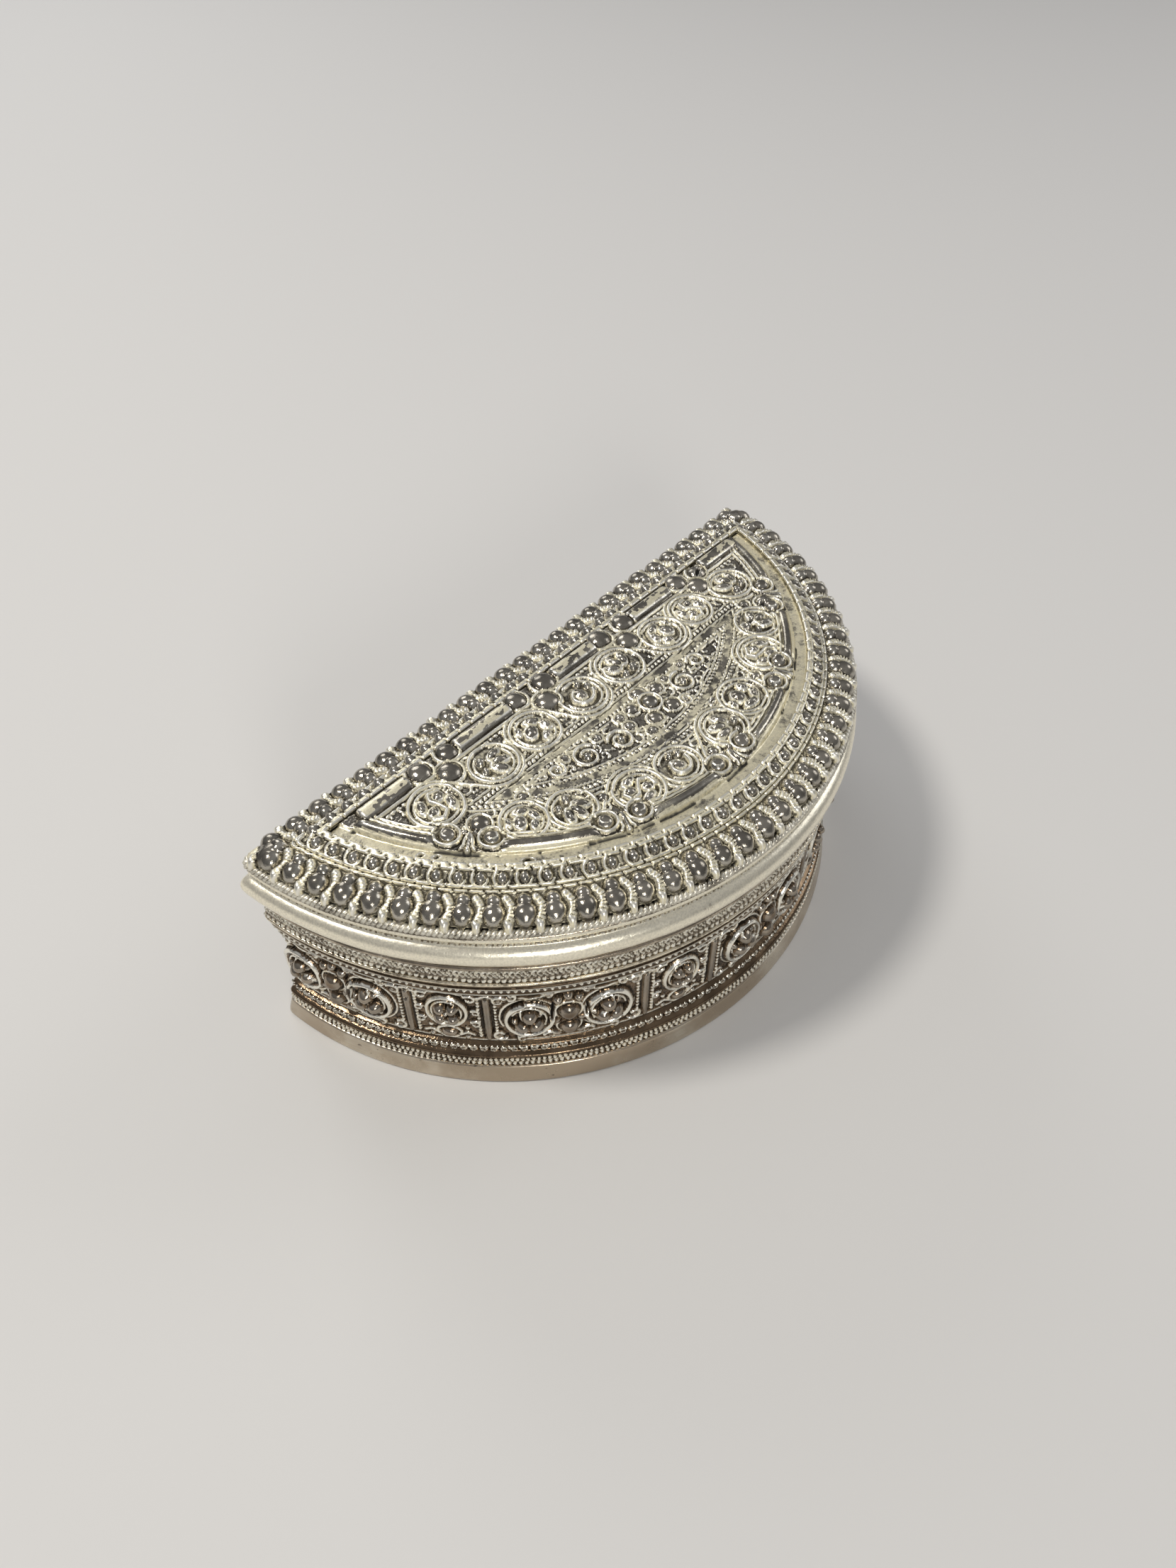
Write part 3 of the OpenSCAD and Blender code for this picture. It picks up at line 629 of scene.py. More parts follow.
# The leaf lobes of each kind of roundel: place, half-length and half-width in radii, and direction
LOBES = (
    ((-0.2, 0.1, 0.3, 0.24, 0.6), (0.36, 0.3, 0.3, 0.16, -0.9), (0.42, -0.24, 0.26, 0.15, -1.9),
     (-0.08, -0.5, 0.2, 0.15, 0.4), (-0.34, 0.56, 0.18, 0.12, 0.8)),
    ((-0.38, 0.14, 0.34, 0.17, 2.2), (0.0, 0.28, 0.34, 0.18, 1.57), (0.38, 0.14, 0.34, 0.17, 0.9)),
    ((-0.34, -0.08, 0.2, 0.17, 0.3), (-0.34, 0.42, 0.28, 0.15, 0.9), (0.36, 0.16, 0.22, 0.18, 0.3),
     (0.4, -0.36, 0.28, 0.15, 0.9)),
    ((0.1, -0.04, 0.3, 0.2, 0.7),))
# The beads of each kind: place and radius in radii, and rise
LOBE_BEADS = (
    (), ((-0.3, -0.44, 0.17, 0.8), (0.24, -0.46, 0.2, 0.85)), (),
    ((-0.5, 0.26, 0.15, 0.7), (-0.24, 0.54, 0.16, 0.7), (0.14, 0.6, 0.14, 0.7)))
# Where each moulding begins and ends round the curve, and each hook with the way it runs, in degrees
MOULDINGS = (-73.0, -57.5), (-47.0, -29.0), (-19.5, -3.2), (7.4, 23.6), (32.6, 48.0), (58.0, 74.0)
HOOKS = (
    (-56.2, -1), (-48.2, 1), (-27.6, -1), (-20.8, 1), (-1.8, -1), (6.2, 1), (25.0, -1), (31.2, 1),
    (49.4, -1), (56.6, 1))
# Single ringed beads in the field: centre and radius
FIELD_BEADS = (
    (-35.2, 3.9, 1.7), (36.6, 3.2, 1.5), (-27.0, 2.8, 0.9), (33.6, 5.4, 0.9), (-18.8, -6.4, 0.9),
    (19.4, -7.6, 0.9), (0.4, -13.0, 0.9))
# Where each bar begins and ends, and the bosses between them: centre and radius
BARS = (-46.3, -36.6), (-26.4, -14.4), (-3.6, 6.6), (16.6, 27.4), (37.4, 47.0)
BOSSES = (
    (-34.2, 18.4, 1.85), (-28.2, 18.5, 1.7), (-31.0, 15.0, 1.95), (-12.4, 18.6, 1.75), (-5.9, 18.3, 2.0),
    (-8.9, 14.7, 1.95), (8.6, 18.5, 2.0), (14.9, 18.4, 1.85), (11.7, 14.6, 1.95), (30.2, 18.5, 1.8),
    (35.2, 17.6, 1.65), (32.2, 15.0, 1.85))
# Worn holes, drawn as pits darkened with painted shade: centre, half-width, half-length and turn
HOLES = (
    (36.8, 19.9, 0.45, 0.8, 0.1), (35.1, 17.3, 0.4, 1.1, 0.5), (29.6, 1.7, 0.5, 1.1, -0.4),
    (6.2, 12.9, 0.5, 0.7, 1.0), (-5.5, -10.2, 0.5, 0.75, 0.1), (25.8, -7.2, 0.3, 0.8, -0.5),
    (35.6, 2.8, 0.35, 0.6, 0.2), (-35.0, -6.0, 0.5, 0.8, -0.8), (-33.0, -8.4, 0.45, 0.9, -0.8),
    (-44.9, 6.6, 0.35, 0.4, 0.0), (-43.6, 4.6, 0.35, 0.4, 0.0))


def field_grid(cols, rows):
    """A grid over the field: its top edge is the straight side, and its other edges follow the curve."""
    r = R - FIELD_IN
    corner = float(corner_angle(FIELD_IN))
    bend = math.radians(40)
    s, t = np.linspace(0, 1, cols)[None], np.linspace(0, 1, rows)[:, None]
    arc = lambda a: (r * np.sin(a), ARC_Y - r * np.cos(a))
    top_y = CHORD_Y - FIELD_IN
    reach = r * math.sin(corner)
    bx, by = arc(-bend + 2 * bend * s)
    rx, ry = arc(bend + (corner - bend) * t)
    tx, ty = -reach + 2 * reach * s, top_y + 0 * s
    corners = [arc(-bend), arc(bend), (-reach, top_y), (reach, top_y)]
    grid = []
    for k, (b, top, right, left) in enumerate(((bx, tx, rx, -rx), (by, ty, ry, ry))):
        c00, c10, c01, c11 = (c[k] for c in corners)
        grid.append((1 - t) * b + t * top + (1 - s) * left + s * right
                    - ((1 - s) * (1 - t) * c00 + s * (1 - t) * c10 + (1 - s) * t * c01 + s * t * c11))
    return grid


def roundel(re, cx, cy, r, spin, kind, hand):
    """A running scroll: two rings, and leaf lobes, curls and beads inside them."""
    c, sn = math.cos(spin), math.sin(spin)

    def at(u, v):
        v = v * hand
        return cx + r * (u * c - v * sn), cy + r * (u * sn + v * c)

    re.bulge(cx, cy, r * 1.15, 0.4)
    re.sink(cx, cy, r * 0.84, 0.35, 0.45)
    re.stroke(spiral(cx, cy, r * 1.03, r * 0.97, spin, hand * 0.98, 44), 0.36, 0.66, 1.0)
    re.stroke(spiral(cx, cy, r * 0.83, r * 0.76, spin + 0.5 * hand, hand * 0.8, 38), 0.25, 0.42, 0.95, 0.2)
    if kind == 2:
        bent = ((-0.62, -0.22), (-0.36, -0.52), (0.0, -0.42), (0.04, -0.05), (0.02, 0.3), (0.28, 0.54),
                (0.6, 0.3))
        re.stroke([at(u, v) for u, v in bent], 0.42, 0.75, 1.0, 0.1)
    elif kind == 3:
        turn = 2.6 + TAU * 0.7 * np.linspace(0, 1, 24)
        way = [at(0.1 + 0.62 * q * math.cos(a), -0.06 + 0.62 * q * math.sin(a))
               for q, a in zip(np.linspace(1, 0.34, 24), turn)]
        re.stroke(way, 0.42, 0.75, 1.0, 0.2)
    for u, v, long, wide, way in LOBES[kind]:
        spot, turn = at(u, v), spin + hand * way
        re.ring(*spot, wide * r * 1.05, 0.24, 0.5, 1.0, long / wide, turn)
        re.dome(*spot, wide * r, 0.85, DARK_REFLECTION, long / wide, turn)
    for u, v, size, rise in LOBE_BEADS[kind]:
        re.dome(*at(u, v), size * r, rise)


def running_stem(re, row, half_w, rise, side):
    """A stem that winds over one roundel of a row and under the next."""
    for (ax, ay, ar), (bx, by, br) in zip(row, row[1:]):
        way = math.atan2(by - ay, bx - ax)
        leave = way + side * np.radians(np.linspace(100, 30, 8))
        meet = way + math.pi + side * np.radians(np.linspace(30, 100, 8))
        ar, br = 1.19 * ar, 1.19 * br
        stem = [(ax + ar * math.cos(t), ay + ar * math.sin(t)) for t in leave]
        stem += [(bx + br * math.cos(t), by + br * math.sin(t)) for t in meet]
        re.stroke(stem, half_w, rise, 0.95)
        side = -side


def volute(re, angle, way, r=1.42):
    """The hooked end of a moulding, round a big bead. way is the direction that the moulding runs in."""
    p, out = on_curve(angle, MOULD_IN + 0.1 + r)
    start = math.atan2(out[1], out[0])
    re.sink(*p, r + 0.8, 0.15, 0.9)
    re.stroke(spiral(*p, r + 0.62, r + 0.5, start + way * 1.3, -way * 0.8, 36), 0.36, 0.8, 1.0, 0.2)
    re.dome(*p, r, 1.08)
    re.stroke(spiral(*p, r * 0.62, r * 0.5, start + way * 2.4, -way * 0.42, 16), 0.22, 1.15, 1.0, 0.2)


def fleur(re, angle, size=0.85):
    """Leaves between two hooked ends: a lobe that points outward, and one curling to each side."""
    p, out = on_curve(angle, MOULD_IN + 0.4)
    side = across(out)
    put = lambda u, v: p + (side * u + out * v) * size
    middle = [put(0, -1.9), put(0.05, -0.6), put(0, 1.5)]
    re.stroke(middle, 0.72, 0.425, PALE, 0.3)
    re.stroke(middle, 0.42, 0.85, 0.3, 0.5)
    for k in (-1, 1):
        leaf = [put(k * 0.3, -1.7), put(k * 0.75, -0.4), put(k * 0.85, 0.8), put(k * 1.25, 1.45)]
        re.stroke(leaf, 0.34, 0.7, 1.0, 0.3)
        re.dome(*put(k * 1.0, -2.3), 0.6 * size, 0.75)


def ground_curls(re, count, low, high, seed, keep):
    """Small chased curls over the ground, which show where nothing higher covers them."""
    gen = np.random.default_rng(seed)
    for _ in range(count):
        cx, cy = gen.uniform(low[0], high[0]), gen.uniform(low[1], high[1])
        r, start, turns = gen.uniform(0.7, 1.25), gen.uniform(0, TAU), gen.choice([-0.7, 0.6, 0.8])
        if keep(cx, cy):
            re.stroke(spiral(cx, cy, r, r * 0.5, start, turns, 12), 0.24, 0.28, 0.9, 0.2, moat=0.14)


def lid_field():
    gx, gy = field_grid(470, 186)
    re = Relief(gx, gy, 0.22)
    x, y = re.x, re.y
    rad = np.hypot(x, y - ARC_Y)
    curve_in, chord_in = R - rad, CHORD_Y - y
    deg = np.degrees(np.arctan2(x, ARC_Y - y))
    base = FIELD_Z - 0.5 * smooth(11.25, 10.95, curve_in) - 0.35 * smooth(9.35, 9.1, chord_in)

    # Distance in from the leaf's edge, and the way along that edge
    in_top = LEAF_TOP - y
    in_low = LEAF_R - np.hypot(x, y - LEAF_CY)
    leaf_in = np.minimum(in_top, in_low)
    leaf_run = np.where(in_top < in_low, x, LEAF_R * np.arctan2(x, LEAF_CY - y))

    # A fine fill of short curled ticks over the ground
    ticks = swirls(x, y, 3.0, 3, 1.05)
    re.h += 0.08 * ticks
    re.tone += 0.35 * np.clip(ticks, 0, 1) * (noise(x, y, 2.2, 9) > -0.2)

    # The plain channel round the curve
    channel = curve_in < 11.3
    re.h[channel] = 0.03 * noise(x[channel], y[channel], 2.0, 21)
    re.tone[channel] = 0.85 + 0.2 * noise(x[channel], y[channel], 1.2, 8)

    ground_curls(re, 900, (-50, -17), (50, 15), 91,
                 lambda u, v: math.hypot(u, v - ARC_Y) < R - 15.5 and not 5.0 < v < 7.6)

    # Ladders and lines beside the leaf, its plain border, and lines inside it
    re.tone[between(leaf_in, -1.9, 0.2)] = 0.4
    for e, w, rise, pitch in LEAF_LINES:
        near = np.abs(leaf_in - e) < 1.0
        if pitch:
            near &= step_away(leaf_run + 0.5 * leaf_in, pitch) < 0.28
        re.line(leaf_in - e, w, rise, 1.0, near)
    flat = between(leaf_in, 0.0, 1.2)
    arch = np.sqrt(np.clip(1 - ((leaf_in[flat] - 0.6) / 0.7) ** 2, 0, 1))
    re.h[flat] = 0.16 * arch + 0.03 * noise(x[flat], y[flat], 0.8, 31)
    re.tone[flat] = 0.72 + 0.4 * np.clip(noise(x[flat], y[flat], 1.4, 33), -1, 1)

    # Inside the leaf: scrolls, and a flower with a ringed bead
    for cx, cy, r, a, w in LEAF_SCROLLS:
        re.sink(cx, cy, r * 0.95, 0.25, 0.35)
        re.stroke(spiral(cx, cy, r, r * 0.45, a, w * 1.2, 40), 0.34, 0.6, 1.0, 0.2)
        re.dome(cx, cy, r * 0.3, 0.7)
    for cx, cy, r in LEAF_BEADS:
        re.ring(cx, cy, r + 0.25, 0.28, 0.34, 1.0)
        re.dome(cx, cy, r, 0.8, 0.1)
    re.ring(2.4, 1.7, 2.0, 0.3, 0.75)
    re.dome(2.4, 1.7, 1.55, 1.15)
    for cx, cy, a in ((-22.5, 4.0, 0.0), (-16.8, -0.9, -0.3), (20.5, 4.0, 0.0), (13.5, -1.2, 0.4)):
        dx, dy = 2.2 * math.cos(a), 2.2 * math.sin(a)
        re.stroke([(cx - dx, cy - dy), (cx, cy + 0.35), (cx + dx, cy + dy)], 0.28, 0.36, 0.95, 0.3)

    # Lines under the bars
    re.line(chord_in - 12.95, 0.3, 0.5, 1.0, np.abs(x) < 46)
    re.line(chord_in - 13.85, 0.32, 0.34, 0.95, (step_away(x, 1.1) > 0.22) & (np.abs(x) < 44))

    for row in ROUNDELS:
        for k, spot in enumerate(row):
            roundel(re, *spot, (-1) ** k)
        running_stem(re, [spot[:3] for spot in row], 0.32, 0.5, 1)

    # Mouldings round the curve: a pale slope, a polished roll and thin lines, with curled ends
    for a0, a1 in MOULDINGS:
        span = between(deg, a0, a1)
        slope = np.nonzero(span & between(curve_in, 10.95, 12.2))[0]
        fade = smooth(a0, a0 + 2, deg) * smooth(a1, a1 - 2, deg)
        re.lift(slope, 0.62 * smooth(10.9, 12.1, curve_in[slope]) * fade[slope], 1.0)
        q = (curve_in - MOULD_IN - 0.15) / 0.84
        roll = np.nonzero(span & (np.abs(q) < 1))[0]
        re.lift(roll, (1 - q[roll] ** 2) ** 0.5 * fade[roll] ** 0.4, 0.58)
        inner = between(deg, a0 + 0.5, a1 - 0.5)
        behind = np.nonzero(inner & between(curve_in, 13.1, 13.6))[0]
        re.lift(behind, np.full(behind.size, 0.3), 0.8)
        for e, w, rise in ((13.65, 0.26, 0.62), (14.4, 0.25, 0.46)):
            re.line(curve_in - e, w, rise, 1.0, inner)
    for a0, way in HOOKS:
        volute(re, math.radians(a0), way)
    for a0 in (-52.2, -24.2, 2.2, 28.1, 53.0):
        fleur(re, math.radians(a0))
    for cx, cy, r in FIELD_BEADS:
        re.ring(cx, cy, r + 0.3, 0.26, 0.42)
        re.dome(cx, cy, r, r * 0.75)

    # Bars along the straight side, with clusters of three bosses between them
    worn = noise(x * 1.3, y * 2, 1.5, 37, 4)
    for x0, x1 in BARS:
        mid, reach = (x0 + x1) / 2, (x1 - x0) / 2
        over = np.clip(np.abs(x - mid) - reach + 0.4, 0, None)
        q = np.hypot((chord_in - 10.95) / 1.5, over / 0.6)
        idx = np.nonzero(q < 1)[0]
        re.lift(idx, 1.1 * (1 - q[idx] ** 2.6) ** 0.5, 1.0)
        top = smooth(0.82, 0.6, q[idx])
        re.tone[idx] = 0.1 + top * (1.2 - 1.1 * smooth(-0.05, 0.3, worn[idx]))
    for cx, cy, r in BOSSES:
        turn = rng.uniform(0, TAU)
        r *= 1.1
        re.stroke(spiral(cx, cy, r + 0.35, r + 0.25, turn, 0.8, 24), 0.36, 0.55, 1.0, 0.2)
        re.dome(cx, cy, r, r * 0.63)

    # Soot and painted shade in a thin crack along the channel's outer edge, in patches, and painted shade
    # in the crack by the bars
    ragged = noise(x, y, 0.8, 49)
    patchy = noise(deg, rad * 0, 7.0, 41) + 0.3 * ragged
    wide = 0.25 + 0.14 * ragged
    edge = np.exp(-((curve_in - 10.85 - 0.15 * noise(deg, rad * 0, 4.0, 47)) / wide) ** 2)
    re.soot_and_shade = np.clip(edge * smooth(0.0, 0.2, patchy) * (chord_in > 11.5), 0, 1)
    re.h -= 0.18 * re.soot_and_shade
    crack_shade = np.exp(-((chord_in - 9.12) / 0.12) ** 2) * smooth(-0.4, 0.1, patchy)
    re.soot_and_shade = np.maximum(re.soot_and_shade, 0.85 * crack_shade)
    for hole in HOLES:
        idx, deep = re.painted_shade_pit(*hole, 1.15, 0.75)
        re.h[idx] -= 0.9 * deep

    re.h += 0.03 * noise(x, y, 0.9, 15)
    # The edge of the field slips under the border
    edge_in = np.minimum(curve_in, chord_in)
    base = base - 0.12 * smooth(9.05, 8.9, edge_in)
    re.h[edge_in < 9.0] = np.minimum(re.h[edge_in < 9.0], 0)
    points = np.stack([gx, gy, base.reshape(gx.shape)], 2)
    return shell("lid_field", points, re, lid_silver, wrap=False)


# The box wall

def hoop(cx, cy, r, tall, start=0.0, turns=1.0, end=None):
    """An upright oval or a spiral on the wall."""
    end = r if end is None else end
    return spiral(0, 0, r, end, start, turns, 40) * (1, tall) + (cx, cy)


def wall_rosette(re, s, z, hand):
    re.bulge(s, z, 4.9, 1.0, 1.16, UPRIGHT)
    re.sink(s, z, 3.9, 0.15, 0.2, 1.2, UPRIGHT)
    spin = rng.uniform(0, TAU)
    re.stroke(hoop(s, z, 4.75, 1.17, spin + 2, hand * 0.8, 4.65), 0.26, 0.38, 0.8, 0.2)
    re.stroke(hoop(s, z, 3.95, 1.2, spin, hand * 0.98, 3.6), 0.52, 1.0, 0.5, 0.15)
    re.stroke(hoop(s, z, 2.95, 1.2, spin + 1, hand * 0.6, 2.75), 0.28, 0.5, 0.7, 0.2)
    for k in range(3):
        a0 = math.radians(30 + 120 * k + rng.uniform(-12, 12))
        swirl = [(s + q * math.cos(a0 + hand * 0.28 * q), z + 1.2 * q * math.sin(a0 + hand * 0.28 * q))
                 for q in np.linspace(0.3, 2.9, 8)]
        re.stroke(swirl, 0.34, 0.85, 0.7, 0.3)
        a = a0 + math.radians(60)
        re.dome(s + 1.4 * math.cos(a), z + 1.68 * math.sin(a), 1.38, 1.55, 0.12)
        re.dome(s + 2.35 * math.cos(a0 + 0.3), z + 2.8 * math.sin(a0 + 0.3), 0.5, 0.8, 0.2)


def wall_curl(re, s, z, side, dx, dz, r, start, turns, half_w, rise, tone):
    """A curl beside a wall motif, mirrored where side is -1."""
    way = spiral(0, 0, r, r * 0.5, start, turns, 20) * (side, 1) + (s + side * dx, z + dz)
    re.stroke(way, half_w, rise, tone, 0.3)


def wall_leaves(re, s, z, side):
    """Leaves that curl in the corners beside a rosette."""
    for dx, dz, r, start, turns in ((4.7, 5.2, 1.2, 2.6, -0.8), (4.8, -5.2, 1.3, -2.4, 0.8),
                                    (-3.4, -6.0, 1.1, 0.2, 0.7), (2.6, 6.4, 0.9, -1.2, -0.7),
                                    (-3.2, 6.3, 1.0, 0.6, 0.7), (1.2, -6.5, 0.9, 2.0, -0.7)):
        wall_curl(re, s, z, side, dx, dz, r, start, turns, 0.36, 0.7, 0.7)
        re.dome(s + side * dx, z + dz, r * 0.42, 0.7, 0.15)


def wall_cluster(re, s, z):
    re.bulge(s, z, 3.6, 0.4, 1.7, UPRIGHT)
    for dz, r in ((1.9, 1.85), (-2.7, 1.7)):
        re.ring(s, z + dz, r + 0.35, 0.3, 0.6, 0.8)
        re.dome(s, z + dz, r, 1.85, 0.1, 1.1, UPRIGHT)
    for dx, dz in ((-1.75, 4.6), (1.75, 4.6), (-2.0, -0.5), (2.0, -0.5), (0, 5.5),
                   (-1.9, -5.0), (1.9, -5.0)):
        re.dome(s + dx, z + dz, 0.85, 0.9, 0.2)


def wall_medallion(re, s, z):
    re.bulge(s, z + 1.6, 3.9, 0.6, 1.15, UPRIGHT)
    re.sink(s, z + 1.7, 3.1, 0.1, 0.3, 1.2, UPRIGHT)
    re.stroke(hoop(s, z + 1.7, 3.25, 1.25), 0.38, 0.75, 0.8)
    re.stroke(hoop(s, z + 1.7, 2.45, 1.25), 0.24, 0.5, 0.7)
    for dx, dz in ((-1.1, 0.1), (1.1, 0.1), (-1.0, 2.9), (1.05, 3.0)):
        re.dome(s + dx, z + dz + 0.1, 1.08, 1.4, 0.12)
    re.dome(s, z + 1.7, 0.5, 0.8, 0.3)
    re.ring(s, z - 4.9, 1.6, 0.25, 0.4, 0.8, 1.25)
    re.dome(s, z - 4.9, 1.15, 1.0, 0.15, 1.25)
    for side in (-1, 1):
        for dx, dz, r in ((3.9, 5.6, 1.1), (4.5, -1.9, 0.9), (4.6, 1.6, 0.8)):
            wall_curl(re, s, z, side, dx, dz, r, 2.4, -0.8, 0.34, 0.6, 0.6)
        re.stroke([(s + side * 1.8, z - 5.4), (s + side * 3.0, z - 4.6), (s + side * 4.2, z - 5.4)],
                  0.45, 0.5, 0.6, 0.4)
        re.dome(s + side * 3.0, z - 6.2, 0.5, 0.5, 0.3)
        re.dome(s + side * 3.1, z - 3.4, 0.45, 0.45, 0.4)


def wall_pilaster(re, s, z):
    re.stroke([(s, z - 5.8), (s, z + 5.4)], 0.66, 0.75, 0.08)
    for side in (-1, 1):
        for k in range(13):
            re.dome(s + side * 1.35, z - 5.6 + k * 0.92, 0.36, 0.42, 0.85, moat=0.05)
    re.stroke([(s - 1.9, z + 6.0), (s, z + 6.7), (s + 1.9, z + 6.0)], 0.3, 0.45, 0.7)


# Splits beside the bead clusters, and a small hollow, darkened with painted shade: place, half-width and
# half-length
SPLITS = (
    (-2 * REPEAT + 2.5, -0.6, 0.42, 3.0), (-REPEAT - 2.7, 1.9, 0.35, 2.0), (-REPEAT + 3.0, 1.5, 0.32, 1.6),
    (-65.8, 3.8, 0.3, 0.4))


def wall_panel():
    profile = [(0.72, 9.25), (0.75, 9.5), (PANEL_IN, 9.85), (PANEL_IN, 24.3), (1.3, 24.75)]
    strip, re = side_relief(profile, 63, 885, 585, 0.18)
    s, z, curved = re.x, re.y, strip.curved
    # The straight side's pattern lies far away on the flat sheet, so that the two don't mix
    shift = 1000.0
    re.x = np.where(curved, s, s + shift)
    inside = between(z, 10.2, 24.0)
    fill = swirls(s, z, 2.6, 51, 0.9)[inside]
    re.h[inside] += 0.07 * fill
    re.tone[inside] += 0.25 * np.clip(fill, 0, 1)
    # Each side: its shift, the number of its last cluster, half its length, and its cells
    for off, last, half, here in ((0.0, 2, 89.5, curved), (shift, 1, 60.0, ~curved)):
        for k in range(-last, last + 1):
            at = k * REPEAT
            for side in (-1, 1):
                wall_leaves(re, off + at + side * 6.5, PANEL_MID + 0.3, side)
                wall_rosette(re, off + at + side * 6.5, PANEL_MID + 0.3, side)
                if abs(at + side * 13.2) < half - 3:
                    wall_pilaster(re, off + at + side * 13.2, PANEL_MID)
            wall_cluster(re, off + at, PANEL_MID)
        for k in range(-last, last):
            wall_medallion(re, off + (k + 0.5) * REPEAT, PANEL_MID)
        # The scalloped line along the panel's top
        phase = (s / REPEAT * 2) * math.pi
        scallop = 23.6 + 0.45 * np.cos(phase * 2) - 0.6 * np.abs(np.sin(phase * 2)) ** 6
        re.line(z - scallop, 0.22, 0.4, 0.75, here & (re.h < 0.5))
        re.line(z - 10.35, 0.2, 0.35, 0.75, here & (re.h < 0.5))
    # Beads up each end of the straight side
    for side in (-1, 1):
        for dz in (3.6, 0.4, -2.8, -5.4):
            re.dome(shift + side * 57.2, PANEL_MID + dz, 1.05, 0.9, 0.2)
    for at, dz, w, l in SPLITS:
        idx, deep = re.painted_shade_pit(at, PANEL_MID + dz, w, l, UPRIGHT - 0.12, 1.1, 0.7)
        re.h[idx] = re.h[idx] * (1 - deep) - 0.7 * deep
        re.swell[idx] *= 1 - deep
    re.h += 0.03 * noise(s, z, 1.0, 57)
    return shell("wall_panel", strip.points, re, wall_silver)


def wall_low():
    strip, re = side_relief(
        [(0.9, 4.22), (0.35, 4.3), (0.2, 4.5), (0.2, 6.55), (0.1, 6.75), (0.1, 7.0), (0.45, 7.25),
         (1.05, 7.5), (1.1, 8.8), (0.72, 9.1), (0.72, 9.45), (1.0, 9.6)], 32, 840, 560, 0.3)
    s, z = re.x, re.y
    re.bead_row(s, z - 4.95, 1.0, 0.38, 0.42, 0.95)
    re.bead_row(s, z - 6.05, 0.9, 0.35, 0.4, 0.95)
    re.line(z - 5.5, 0.12, 0.14, 0.7)
    # A row of chased ovals, each round a bead
    pitch, where = 1.7, between(z, 7.5, 8.8)
    q = np.hypot(step_away(s, pitch) / (pitch * 0.36), (z - 8.15) / 0.62)
    re.line((q - 0.8) * 0.6, 0.16, 0.3, 0.8, where)
    idx = np.nonzero(where)[0]
    re.cap(idx, q[idx] / 0.35, 0.3, 0.5, 0.6)
    re.bead_row(s, z - 9.25, 0.95, 0.28, 0.36, 1.0)
    re.h += 0.02 * noise(s, z, 1.0, 61)
    return shell("wall_low", strip.points, re, wall_silver)


def wall_high():
    strip, re = side_relief(
        [(1.55, 24.35), (1.25, 24.6), (1.15, 25.0), (1.15, 25.4), (0.95, 25.9), (0.9, 26.7), (0.7, 27.0),
         (0.95, 27.4), (0.75, 28.1), (0.2, 28.6), (0.15, 29.0), (0.35, 29.2), (1.6, 29.22)],
        36, 780, 520, 0.25)
    s, z, face = re.x, re.y, strip.inset < 1.35
    re.line(z - 24.95, 0.16, 0.25, 0.8, face)
    re.bead_row(s, z - 26.3, 1.15, 0.32, 0.42, 1.0)
    re.line(z - 26.95, 0.14, 0.2, 0.8, face)
    re.tone[z > 28.4] = 0.75
    re.tone[between(z, 27.1, 28.3)] = 0.2
    re.h += 0.03 * noise(s, z, 2.0, 63)
    return shell("wall_high", strip.points, re, wall_silver)


# The lid's side, its rope and the foot

def lid_side():
    bow = [(0.93 - 2.2 * math.cos(math.radians(a)), 37.2 + 2.2 * math.sin(math.radians(a)))
           for a in range(-76, 77, 8)]
    strip, re = side_relief(
        [(1.75, 29.55), (0.5, 29.55), (0.32, 29.7), (0.32, 30.45), (0.55, 30.75), (0.6, 32.65),
         (0.2, 32.95), (0.08, 33.25), (0.2, 33.55), (0.9, 33.9), (0.95, 34.9), *bow, (0.35, 39.5),
         (0.3, 40.3), (0.0, 40.55), (-0.02, 41.1), (0.15, 41.5), (0.6, 41.75), (1.15, 41.85),
         (1.2, 43.5), (1.75, 43.55)], 66, 600, 400, 0.35)
    s, z, inset = re.x, re.y, strip.inset
    face = inset < 0.95
    re.bead_row(s, z - 30.1, 1.05, 0.34, 0.34, 0.85, face)
    # The braid: two rows of slanted ticks that meet in a point
    for z0, lean in ((31.2, 0.9), (32.1, -0.9)):
        re.bead_row(s, z - z0, 0.86, 0.27, 0.3, 0.7, face & (np.abs(z - z0) < 0.5), lean, 1.8)
    re.bead_row(s, z - 39.9, 0.8, 0.28, 0.28, 0.8, face)
    re.tone[between(z, 33.6, 35.0)] = 0.05
    # The plain half-round band, pale as a painted highlight, worn in places and darkened at its lower edge
    # as painted shade
    bow_face = between(z, 35.0, 39.45)
    worn = (noise(s, z * 3, 9.0, 71) + 0.5 * noise(s, z * 4, 2.0, 73))[bow_face]
    shade = 0.92 - 0.3 * smooth(0.25, 0.9, worn) - 0.5 * smooth(36.1, 35.3, z[bow_face])
    re.tone[bow_face] = np.clip(shade, 0, 1)
    re.h[bow_face] += 0.05 * noise(s, z, 6.0, 75)[bow_face]
    re.tone[between(z, 40.4, 41.3)] = 0.75
    # Painted shade, near black, in the recess behind the rope and along the lid's lower lip
    re.soot_and_shade[:] = 0.85 * smooth(41.7, 41.9, z) * (inset > 0.5)
    re.soot_and_shade = np.maximum(re.soot_and_shade, 0.8 * (z < 29.6) * (inset > 0.8))
    re.h += 0.015 * noise(s, z, 1.5, 77)
    return shell("lid_side", strip.points, re, skirt_silver, 0.5)


